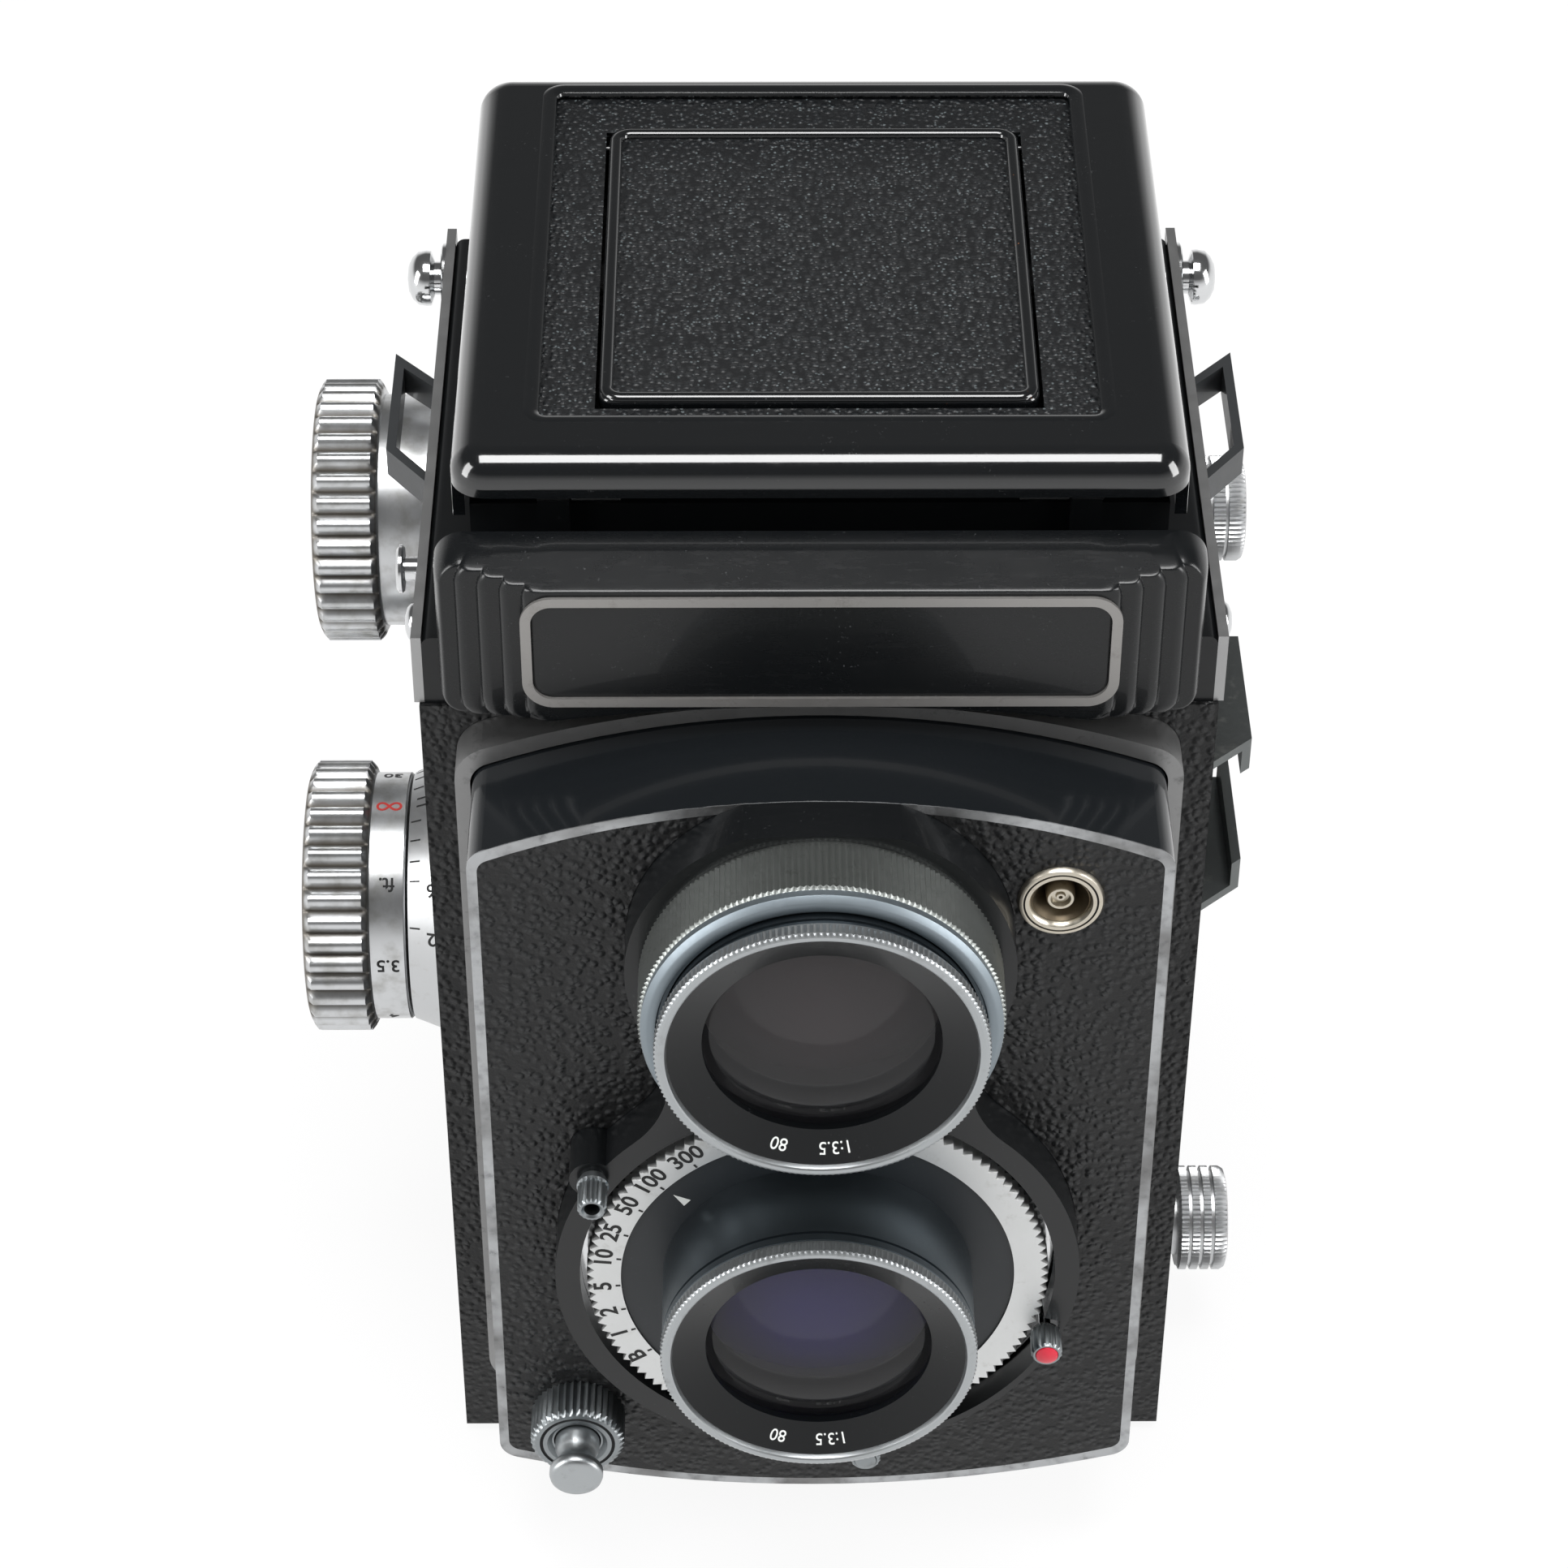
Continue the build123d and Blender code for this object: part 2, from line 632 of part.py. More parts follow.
def shutter_housing():
    """Pear-shaped case with a deep pocket for the rings and slots for the two levers."""
    floor, cocking, aperture = lever_planes()
    case = slab(housing_outline(0) & arched(0), deep(HOUSING_FACE, -BOARD_FRONT))
    case += slab(housing_outline(0) & arched(-BOARD_BORDER - RUNNING), deep(-BOARD_FRONT, HOUSING_BACK))
    case -= rod_y(HOUSING_RADIUS - HOUSING_RIM, 0, deep(HOUSING_FACE - 1, floor), TAKING_Z)
    undercut = deep(aperture[0] - 0.1, floor)
    case -= rod_y(LEVER_RING_RADIUS + FREE_GAP, 0, undercut, TAKING_Z)
    case -= rod_y(BARREL_RADIUS, 0, deep(floor - 1, 0), TAKING_Z)
    case -= rod_y(BARREL_RADIUS - BARREL_STEP, 0, deep(HOUSING_FACE - 1, 0), VIEWING_Z)
    slot = deep(HOUSING_FACE - 1, floor - 0.5)
    spare = LEVER_SLOT_SPARE
    case -= ring_slot(COCKING_ANGLE - COCKING_SWEEP - spare, COCKING_ANGLE + spare, slot)
    case -= ring_slot(APERTURE_ANGLE - APERTURE_SWEEP - spare, APERTURE_ANGLE + spare, slot)
    return case


def shutter_face():
    """Black face plate, whose hub carries the speed ring and the lever rings."""
    floor = lever_planes()[0]
    hub = rod_y(RING_BORE - RUNNING, 0, deep(HOUSING_FACE + 0.1, floor), TAKING_Z)
    return hub - rod_y(BARREL_RADIUS, 0, deep(HOUSING_FACE - 1, 0), TAKING_Z)


def speed_ring():
    y = deep(HOUSING_FACE - SPEED_RING_PROUD, HOUSING_FACE - SPEED_RING_PROUD + SPEED_RING_THICK)
    return ring_y(SPEED_RING_RADIUS, RING_BORE, 0, y, TAKING_Z)


def lever(angle, plane, stem_front):
    """Ring with a stem through the slot in the housing rim, and a knob."""
    x, z = polar(LEVER_KNOB_PITCH, angle)
    part = ring_y(LEVER_RING_RADIUS, RING_BORE, 0, deep(*plane), TAKING_Z)
    part += rod_y(0.6, x, deep(stem_front - 0.4, plane[1]), z)
    return part + rod_y(LEVER_KNOB_RADIUS, x, deep(stem_front - LEVER_KNOB_LENGTH, stem_front), z)


def cocking_lever():
    floor, cocking, aperture = lever_planes()
    return lever(COCKING_ANGLE, cocking, HOUSING_FACE - SLIDE_GAP)


def aperture_lever():
    floor, cocking, aperture = lever_planes()
    body = lever(APERTURE_ANGLE, aperture, HOUSING_FACE - SLIDE_GAP)
    return body


def cocking_clearance():
    """Slot through the aperture ring, where the stem of the cocking lever passes."""
    plane = lever_planes()[2]
    start = COCKING_ANGLE - COCKING_SWEEP - LEVER_SLOT_SPARE
    end = COCKING_ANGLE + APERTURE_SWEEP + LEVER_SLOT_SPARE
    return ring_slot(start, end, deep(plane[0] - 0.05, plane[1] + 0.05))


def shutter_case():
    """Rear half of the shutter, behind the board, open at the back for the rear lens."""
    y = deep(-BOARD_FRONT + BOARD_PLATE, -BOARD_FRONT + BOARD_PLATE + CASE_LENGTH)
    cut = deep(-BOARD_FRONT + BOARD_PLATE - 1, -BOARD_FRONT + BOARD_PLATE + CASE_LENGTH - CASE_WALL)
    case = rod_y(CASE_RADIUS, 0, y, TAKING_Z)
    case -= rod_y(CASE_RADIUS - CASE_WALL, 0, cut, TAKING_Z)
    return case - rod_y(BLADE_GATE + 1.5, 0, deep(-30, 0), TAKING_Z)


def blade_depth(index):
    """Depth of one blade; each runs in its own plane."""
    return -BOARD_FRONT + BOARD_PLATE + 4.0 + index * (BLADE_THICK + 0.15)


def blade_pin(index):
    """Pivot of one blade, on the case wall."""
    return polar(BLADE_PITCH, 90 + 120 * index + BLADE_PIVOT_TURN)


def shutter_blade(index):
    """Leaf that covers the gate from its pivot past the middle."""
    x, z = blade_pin(index)
    depth = blade_depth(index)
    y = deep(depth, depth + BLADE_THICK)
    toward = 90 + 120 * index
    leaf = []
    corners = ((17.5, 66), (17.5, 46), (13.0, 10), (10.2, -30), (9.8, -62), (3.0, -165), (9.8, 62))
    for radius, turn in corners:
        leaf.append(polar(radius, toward + turn))
    blade = slab(make_face(Polyline(*leaf, close=True)), y)
    return blade - rod_y(0.5 + RUNNING, x, deep(depth - 1, depth + 1), z)


def blade_pins():
    """Three pivot pins, seated in the rear wall of the case."""
    front = -BOARD_FRONT + BOARD_PLATE + 3.4
    back = -BOARD_FRONT + BOARD_PLATE + CASE_LENGTH - CASE_WALL
    pins = []
    for index in range(3):
        x, z = blade_pin(index)
        pins.append(rod_y(0.5, x, deep(front, back), z))
    return group(pins)


def lens_head(axis_z, back, outer):
    """Barrel, front rim, name ring and domed front glass of one lens."""
    barrel_y = deep(-HEAD_FRONT + RIM_LENGTH, back)
    barrel = ring_y(outer, outer - BARREL_WALL, 0, barrel_y, axis_z)
    rim = ring_y(RIM_RADIUS, RIM_RADIUS - 1.9, 0, deep(-HEAD_FRONT, -HEAD_FRONT + RIM_LENGTH), axis_z)
    name_y = -HEAD_FRONT + RIM_LENGTH
    name = ring_y(outer - BARREL_WALL, NAME_RING_BORE, 0, deep(name_y, name_y + NAME_RING_THICK), axis_z)
    return barrel, rim, name, front_glass(axis_z, name_y + NAME_RING_THICK)


def front_glass(axis_z, seat):
    """Lens with a domed front that rises into the name ring."""
    edge = NAME_RING_BORE - RUNNING
    shoulder = edge + 1.2
    front = FRONT + seat - ELEMENT_DOME
    halfway = (edge / 2, front + ELEMENT_DOME / 4)
    dome = ThreePointArc((0, front), halfway, (edge, FRONT + seat))
    back = FRONT + seat + ELEMENT_THICK
    rest = Polyline((edge, FRONT + seat), (shoulder, FRONT + seat), (shoulder, back), (0, back), (0, front))
    section = make_face([dome] + list(rest.edges()))
    return Pos(0, 0, axis_z) * revolve(section, Axis.Y)


def rear_glass():
    """Rear lens in its cell, seated in the opening of the shutter case."""
    start = -BOARD_FRONT + BOARD_PLATE + CASE_LENGTH - CASE_WALL
    return rod_y(BLADE_GATE + 1.5, 0, deep(start, start + 3.0), TAKING_Z)


def viewing_ring():
    y = deep(HOUSING_FACE - VIEW_RING_LENGTH, HOUSING_FACE)
    return ring_y(VIEW_RING_RADIUS, BARREL_RADIUS - BARREL_STEP, 0, y, VIEWING_Z)


def flash_socket():
    y = deep(-BOARD_FRONT - FLASH_STAND, -BOARD_FRONT + BOARD_PLATE + FLASH_TAIL)
    neck = ring_y(FLASH_RADIUS - FLASH_LIP, FLASH_BORE, FLASH_X, y, FLASH_Z)
    lip = ring_y(FLASH_RADIUS, FLASH_BORE, FLASH_X, deep(-BOARD_FRONT - FLASH_STAND, HOUSING_BACK), FLASH_Z)
    return neck + lip


def flash_contact():
    back = -BOARD_FRONT + BOARD_PLATE + FLASH_TAIL
    disc = rod_y(FLASH_BORE, FLASH_X, deep(back - 1.5, back), FLASH_Z)
    sleeve = ring_y(FLASH_SLEEVE, FLASH_SLEEVE - 0.4, FLASH_X, deep(-BOARD_FRONT - 0.2, back - 1.5), FLASH_Z)
    return disc + sleeve + rod_y(FLASH_PIN, FLASH_X, deep(-BOARD_FRONT, back - 1.5), FLASH_Z)


def release_collar():
    y = deep(-BOARD_FRONT - RELEASE_STAND, -BOARD_FRONT)
    return ring_y(RELEASE_COLLAR, RELEASE_STEM + RUNNING, RELEASE_X, y, RELEASE_Z)


def release_button():
    head_y = deep(-RELEASE_FRONT, -RELEASE_FRONT + RELEASE_HEAD_THICK)
    head = rod_y(RELEASE_HEAD, RELEASE_X, head_y, RELEASE_Z)
    stem = rod_y(RELEASE_STEM, RELEASE_X, deep(-RELEASE_FRONT + 1, -BOARD_FRONT + BOARD_PLATE + 1), RELEASE_Z)
    stop_y = deep(-BOARD_FRONT + BOARD_PLATE, -BOARD_FRONT + BOARD_PLATE + 1)
    stop = rod_y(RELEASE_STEM + 0.8, RELEASE_X, stop_y, RELEASE_Z)
    return head + stem + stop


def cable_socket():
    y = deep(-CABLE_FRONT, HOUSING_FACE)
    bore = deep(-CABLE_FRONT - 1, HOUSING_FACE - 0.8)
    return rod_y(CABLE_RADIUS, CABLE_X, y, CABLE_Z) - rod_y(CABLE_BORE, CABLE_X, bore, CABLE_Z)


# Nameplate housing

def nameplate_housing():
    """Block over the board: flat top, sloping bevel, upright face, lower edge arched."""
    profile = [
        (FRONT + PLATE_FLAT_REAR, BODY_HEIGHT), (FRONT + PLATE_FLAT_REAR, PLATE_TOP),
        (FRONT - PLATE_FLAT_FRONT, PLATE_TOP), (FRONT - PLATE_STAND, PLATE_TOP - PLATE_BEVEL),
        (FRONT - PLATE_STAND, PLATE_SIDE_LOW - 2), (FRONT, PLATE_SIDE_LOW - 2), (FRONT, BODY_HEIGHT)]
    body = plate_x(profile, (-PLATE_HALF_WIDTH, PLATE_HALF_WIDTH))
    half = PLATE_HALF_WIDTH
    arch = BOARD_SIDE_HIGH + COLLAR_WALL + BOARD_TOP_ARCH + PLATE_LOW_GAP
    bottom = ThreePointArc((-half, PLATE_SIDE_LOW), (0, arch), (half, PLATE_SIDE_LOW))
    rest = Polyline((half, PLATE_SIDE_LOW), (half, PLATE_TOP), (-half, PLATE_TOP), (-half, PLATE_SIDE_LOW))
    outline = make_face([bottom] + list(rest.edges()))
    outline = fillet(outline.vertices(), PLATE_CORNER)
    return body & slab(outline, deep(-PLATE_STAND - 1, PLATE_FLAT_REAR + 1))


def nameplate_frame():
    """Raised bright line round the bare nameplate."""
    width = 2 * FRAME_HALF_WIDTH
    height = FRAME_HIGH - FRAME_LOW
    middle = (FRAME_HIGH + FRAME_LOW) / 2
    outer = RectangleRounded(width, height, FRAME_CORNER)
    inner = RectangleRounded(width - 2 * FRAME_LINE, height - 2 * FRAME_LINE, FRAME_CORNER - FRAME_LINE)
    return slab(Pos(0, middle) * (outer - inner), deep(-PLATE_STAND - FRAME_PROUD, -PLATE_STAND))


# Focusing drive

def focus_knob():
    band_x = (-FOCUS_OUTER_X, -FOCUS_OUTER_X + FOCUS_BAND)
    band = rod_x(FOCUS_RADIUS, band_x, FRONT + FOCUS_Y, FOCUS_Z)
    band = chamfer(band.edges().filter_by(GeomType.CIRCLE), 0.4)
    barrel = rod_x(FOCUS_BARREL_RADIUS, (band_x[1], -FOCUS_BARREL_INNER_X), FRONT + FOCUS_Y, FOCUS_Z)
    return band + barrel


def cam_points(pitch):
    """Edge of the spiral cam: the radius facing the follower grows evenly with the turn."""
    points = []
    steps = 56
    for step in range(steps):
        turn = 360.0 * step / steps
        if turn <= FOCUS_TURN:
            radius = CAM_SMALL + pitch * radians(turn)
        else:
            back = min((turn - FOCUS_TURN) / CAM_RETURN, 1.0)
            radius = CAM_SMALL + pitch * radians(FOCUS_TURN) * (1 - back)
        angle = pi - radians(turn)
        points.append((FRONT + FOCUS_Y + radius * cos(angle), FOCUS_Z + radius * sin(angle)))
    return points


def focus_shaft():
    """Shaft through the wall, with the spiral cam that pushes the lens board out."""
    pitch = BOARD_TRAVEL / radians(FOCUS_TURN)
    cam_x = (-INNER_HALF + FREE_GAP, -INNER_HALF + FREE_GAP + CAM_THICK)
    shaft = rod_x(FOCUS_SHAFT, (-FOCUS_BARREL_INNER_X, cam_x[1]), FRONT + FOCUS_Y, FOCUS_Z)
    return shaft + plate_x(cam_points(pitch), cam_x)


def focus_scale():
    """Fixed cone on the side wall that carries the index and the depth of field marks."""
    small = Plane(origin=(-FOCUS_BARREL_INNER_X + FREE_GAP, FRONT + FOCUS_Y, FOCUS_Z), z_dir=(1, 0, 0))
    length = FOCUS_BARREL_INNER_X - FREE_GAP - SHELL_HALF
    cone = loft([small * Circle(SCALE_CONE_SMALL), small.offset(length) * Circle(SCALE_CONE_LARGE)])
    bore_x = (-FOCUS_BARREL_INNER_X - 1, -SHELL_HALF + 1)
    bore = rod_x(FOCUS_SHAFT + RUNNING, bore_x, FRONT + FOCUS_Y, FOCUS_Z)
    return cone - bore


def focus_follower():
    """Arm on the left wall of the board, with the pin that the cam pushes."""
    wall = BOARD_HALF_WIDTH - BOARD_WALL
    pin_y = FOCUS_Y - CAM_SMALL - FOLLOWER_PIN - FREE_GAP
    arm_z = (FOCUS_Z - 4.0, FOCUS_Z + 4.0)
    arm = block((-wall, -wall + 1.5), deep(-BOARD_FRONT + BOARD_PLATE, pin_y + 2.5), arm_z)
    pin_x = (-INNER_HALF + FREE_GAP, -wall + 1.5)
    return arm + rod_x(FOLLOWER_PIN, pin_x, FRONT + pin_y, FOCUS_Z)


# Film transport

def winding_knob():
    band_x = (-WIND_OUTER_X, -WIND_OUTER_X + WIND_BAND)
    band = rod_x(WIND_RADIUS, band_x, FRONT + WIND_Y, WIND_Z)
    band = chamfer(band.edges().filter_by(GeomType.CIRCLE), 0.4)
    barrel = rod_x(WIND_BARREL_RADIUS, (band_x[1], -WIND_BARREL_INNER_X), FRONT + WIND_Y, WIND_Z)
    return band + barrel


def winding_shaft():
    """Shaft through the wall, with a flat key that turns the take-up spool."""
    spool_end = -SPOOL_LENGTH / 2
    shaft = rod_x(WIND_SHAFT, (-WIND_BARREL_INNER_X, spool_end - FREE_GAP), FRONT + WIND_Y, WIND_Z)
    key_x = (spool_end - 1, spool_end + SPOOL_KEY_DEPTH - 0.5)
    key = rod_x(SPOOL_BORE - SLIDE_GAP, key_x, FRONT + WIND_Y, WIND_Z)
    return shaft + key


def spool(depth, z):
    """Film spool: core between two flanges, with a blind socket in each end."""
    half = SPOOL_LENGTH / 2
    y = FRONT + depth
    part = rod_x(SPOOL_CORE, (-half, half), y, z)
    for sign in (-1, 1):
        part += rod_x(SPOOL_RADIUS, side(sign, half - SPOOL_FLANGE, half), y, z)
        part -= rod_x(SPOOL_BORE, side(sign, half - SPOOL_KEY_DEPTH, half + 1), y, z)
    return part


def feed_pin():
    """Fixed pin on the left wall that carries one end of the feed spool."""
    inner = -SPOOL_LENGTH / 2 + SPOOL_KEY_DEPTH - 0.5
    flange = rod_x(5.0, (-INNER_HALF, -INNER_HALF + 1.5), FRONT + FEED_Y, FEED_Z)
    return flange + rod_x(SPOOL_BORE - RUNNING, (-INNER_HALF, inner), FRONT + FEED_Y, FEED_Z)


def pull_knob(radius, depth, z):
    """Knob, neck and shaft whose tip holds the right end of a spool."""
    y = FRONT + depth
    head_x = (PULL_OUTER_X - PULL_LENGTH, PULL_OUTER_X)
    tip = SPOOL_LENGTH / 2 - SPOOL_KEY_DEPTH + 0.5
    head = rod_x(radius, head_x, y, z)
    head = chamfer(head.edges().filter_by(GeomType.CIRCLE), 0.4)
    neck_x = (HALF_WIDTH + BUSH_STAND + SLIDE_GAP, head_x[0])
    shaft = rod_x(PULL_SHAFT, (tip, head_x[0]), y, z)
    tip_collar = rod_x(SPOOL_BORE - RUNNING, (tip, tip + 1.5), y, z)
    return head + rod_x(PULL_NECK, neck_x, y, z) + shaft + tip_collar


def knob_bushes():
    """Turned bushes on the right wall, round the two pull knob shafts."""
    pieces = []
    for depth, z in ((FEED_Y, FEED_Z), (WIND_Y, WIND_Z)):
        bush = rod_x(PULL_NECK + 1.5, (SHELL_HALF, HALF_WIDTH + BUSH_STAND), FRONT + depth, z)
        pieces.append(bush - rod_x(PULL_SHAFT + RUNNING, (SHELL_HALF - 1, HALF_WIDTH + 5), FRONT + depth, z))
    return group(pieces)


# Focusing hood

def hood_base():
    """Upright frame on the deck, with the slots that hold the leaf hinge pins."""
    x = BASE_HALF_WIDTH
    frame = block((-x, x), deep(BASE_FRONT, BASE_REAR), (BODY_HEIGHT, BASE_TOP))
    inner = x - BASE_WALL
    inner_y = deep(BASE_FRONT + BASE_WALL, BASE_REAR - BASE_WALL)
    frame -= block((-inner, inner), inner_y, (BODY_HEIGHT - 1, BASE_TOP + 1))
    # Lugs in front that carry the ends of the lid's hinge pin.
    for sign in (-1, 1):
        ear_x = side(sign, BASE_EAR_NEAR, BASE_EAR_FAR)
        ear = block(ear_x, deep(HINGE_Y - 0.2, BASE_FRONT + BASE_WALL), (BASE_TOP - 6, HINGE_Z))
        ear += rod_x(KNUCKLE, ear_x, FRONT + HINGE_Y, HINGE_Z)
        bore_x = side(sign, BASE_EAR_NEAR - 1, BASE_EAR_FAR + 1)
        frame += ear - rod_x(PIN + RUNNING, bore_x, FRONT + HINGE_Y, HINGE_Z)
    for sign, level in ((-1, LEFT_LEAF_Z), (1, LEFT_LEAF_Z + LEAF_STEP)):
        for y in (LEAF_BASE_FRONT, LEAF_BASE_REAR - 2.0):
            ear_x = side(sign, LEAF_HINGE_X - 1.0, x - BASE_WALL)
            ear = block(ear_x, deep(y, y + 2.0), (level - 1.2, level + 1.0))
            frame += ear - rod_y(PIN / 2 + RUNNING, sign * LEAF_HINGE_X, deep(y - 1, y + 3), level)
    return frame


def lid_hinge_pin():
    return rod_x(PIN, (-BASE_EAR_FAR, BASE_EAR_FAR), FRONT + HINGE_Y, HINGE_Z)


def leaf_pins():
    """Hinge pins of the three folding leaves."""
    pins = []
    for sign, level in ((-1, LEFT_LEAF_Z), (1, LEFT_LEAF_Z + LEAF_STEP)):
        y = deep(LEAF_BASE_FRONT, LEAF_BASE_REAR)
        pins.append(rod_y(PIN / 2, sign * LEAF_HINGE_X, y, level))
    return group(pins)


def hood_lid():
    """Enamelled tray, open below, with a sunk panel and a window for the finder flap."""
    x = (-HOOD_HALF_WIDTH, HOOD_HALF_WIDTH)
    lid = block(x, deep(HOOD_FRONT, HOOD_REAR), (HOOD_TOP - HOOD_SKIRT, HOOD_TOP))
    lid = fillet(lid.edges().filter_by(Axis.Z), HOOD_ROUND)
    lid = fillet(lid.faces().sort_by(Axis.Z)[-1].edges(), HOOD_ROUND - 0.5)
    floor = HOOD_TOP - RECESS_DEPTH - RECESS_FLOOR
    inner_x = HOOD_HALF_WIDTH - HOOD_WALL
    inner_y = deep(HOOD_FRONT + HOOD_WALL, HOOD_REAR - HOOD_WALL)
    cavity = block((-inner_x, inner_x), inner_y, (HOOD_TOP - HOOD_SKIRT - 1, floor))
    cavity = fillet(cavity.edges().filter_by(Axis.Z), HOOD_ROUND - HOOD_WALL)
    lid -= cavity
    recess_x = (-RECESS_HALF_WIDTH, RECESS_HALF_WIDTH)
    recess = block(recess_x, deep(RECESS_FRONT, RECESS_REAR), (floor + RECESS_FLOOR, HOOD_TOP + 1))
    lid -= fillet(recess.edges().filter_by(Axis.Z), RECESS_ROUND)
    flap_x = FLAP_HALF_WIDTH + FLAP_GAP
    flap_y = deep(FLAP_FRONT - FLAP_GAP, FLAP_REAR + FLAP_GAP)
    lid -= block((-flap_x, flap_x), flap_y, (floor - 1, HOOD_TOP + 1))
    front_cut = HOOD_TOP - HOOD_FRONT_SKIRT
    front_y = deep(HOOD_FRONT - 1, HINGE_Y - KNUCKLE + 0.9)
    lid -= block((-HALF_WIDTH, HALF_WIDTH), front_y, (HOOD_TOP - HOOD_SKIRT - 1, front_cut))
    for sign in (-1, 1):
        ear_x = side(sign, LID_EAR_NEAR, BASE_EAR_NEAR - FREE_GAP)
        ear = block(ear_x, deep(HINGE_Y - KNUCKLE, HINGE_Y + KNUCKLE), (HINGE_Z, floor + 0.1))
        ear += rod_x(KNUCKLE, ear_x, FRONT + HINGE_Y, HINGE_Z)
        bore_x = side(sign, LID_EAR_NEAR - 1, BASE_EAR_NEAR + 1)
        lid += ear - rod_x(PIN + RUNNING, bore_x, FRONT + HINGE_Y, HINGE_Z)
        lug_x = side(sign, MAGNIFIER_BAR + 0.3, MAGNIFIER_BAR + 2.3)
        lug = block(lug_x, deep(MAGNIFIER_Y - 1.2, MAGNIFIER_Y + 1.2), (MAGNIFIER_Z - 1.0, floor + 0.1))
        lid += lug - rod_x(PIN / 2 + RUNNING, side(sign, 20, 30), FRONT + MAGNIFIER_Y, MAGNIFIER_Z)
    pin_y, pin_z = flap_hinge()
    lid -= rod_x(PIN / 2 + RUNNING, (-FLAP_HALF_WIDTH - 3, FLAP_HALF_WIDTH + 3), pin_y, pin_z)
    return lid


def lid_leather():
    """Grained panel round the finder flap."""
    floor = HOOD_TOP - RECESS_DEPTH
    panel_x = (-RECESS_HALF_WIDTH, RECESS_HALF_WIDTH)
    panel = block(panel_x, deep(RECESS_FRONT, RECESS_REAR), (floor, floor + LEATHER))
    panel = fillet(panel.edges().filter_by(Axis.Z), RECESS_ROUND)
    flap_x = FLAP_HALF_WIDTH + FLAP_GAP
    flap_y = deep(FLAP_FRONT - FLAP_GAP, FLAP_REAR + FLAP_GAP)
    return panel - block((-flap_x, flap_x), flap_y, (floor - 1, HOOD_TOP))


def finder_flap():
    """Frame finder flap with a raised rim, hinged along its rear edge."""
    top = HOOD_TOP - FLAP_SINK
    flap = block((-FLAP_HALF_WIDTH, FLAP_HALF_WIDTH), deep(FLAP_FRONT, FLAP_REAR), (top - FLAP_THICK, top))
    flap = fillet(flap.edges().filter_by(Axis.Z), RECESS_ROUND)
    flap = fillet(flap.faces().sort_by(Axis.Z)[-1].edges(), 0.5)
    inner = FLAP_HALF_WIDTH - FLAP_RIM
    well = block((-inner, inner), deep(FLAP_FRONT + FLAP_RIM, FLAP_REAR - FLAP_RIM), (top - 0.9, top + 1))
    flap -= well
    pin_y, pin_z = flap_hinge()
    reach = FLAP_HALF_WIDTH + 2.5
    return flap + rod_x(PIN / 2, (-reach, reach), pin_y, pin_z)


def flap_hinge():
    """Y and Z of the finder flap's hinge line, inside the sunk panel."""
    return FRONT + FLAP_REAR - 1.0, HOOD_TOP - RECESS_DEPTH - RECESS_FLOOR / 2


def flap_leather():
    top = HOOD_TOP - FLAP_SINK - 0.9
    inner = FLAP_HALF_WIDTH - FLAP_RIM
    return block((-inner, inner), deep(FLAP_FRONT + FLAP_RIM, FLAP_REAR - FLAP_RIM), (top, top + LEATHER))


def side_leaf(sign, level):
    """Folding leaf with sloped ends, so that it clears its neighbours as they all rise."""
    tip = sign * (LEAF_HINGE_X - LEAF_HEIGHT)
    root = sign * (LEAF_HINGE_X - KNUCKLE / 2)
    outline = [
        (root, FRONT + LEAF_BASE_FRONT + 2.5), (tip, FRONT + LEAF_TIP_FRONT),
        (tip, FRONT + LEAF_TIP_REAR), (root, FRONT + LEAF_BASE_REAR - 2.5)]
    leaf = plate_z(outline, (level - LEAF_THICK / 2, level + LEAF_THICK / 2))
    roll = deep(LEAF_BASE_FRONT + 2.5, LEAF_BASE_REAR - 2.5)
    leaf += rod_y(KNUCKLE / 2 + 0.1, sign * LEAF_HINGE_X, roll, level)
    return leaf - rod_y(PIN / 2 + RUNNING, sign * LEAF_HINGE_X, deep(0, BODY_DEPTH), level)


def rear_leaf():
    level = LEFT_LEAF_Z + 2 * LEAF_STEP
    half = REAR_LEAF_HALF_WIDTH
    hinge = LEAF_BASE_REAR + 0.8
    tip = hinge - REAR_LEAF_HEIGHT
    root = FRONT + hinge
    end = FRONT + tip
    outline = [(-half, root), (half, root), (half - 9.0, end), (9.0 - half, end)]
    leaf = plate_z(outline, (level - LEAF_THICK / 2, level + LEAF_THICK / 2))
    leaf += rod_x(KNUCKLE / 2 + 0.1, (-half, half), FRONT + hinge, level)
    return leaf - rod_x(PIN / 2 + RUNNING, (-half - 1, half + 1), FRONT + hinge, level)


def rear_leaf_pin():
    level = LEFT_LEAF_Z + 2 * LEAF_STEP
    reach = BASE_HALF_WIDTH - BASE_WALL
    return rod_x(PIN / 2, (-reach, reach), FRONT + LEAF_BASE_REAR + 0.8, level)


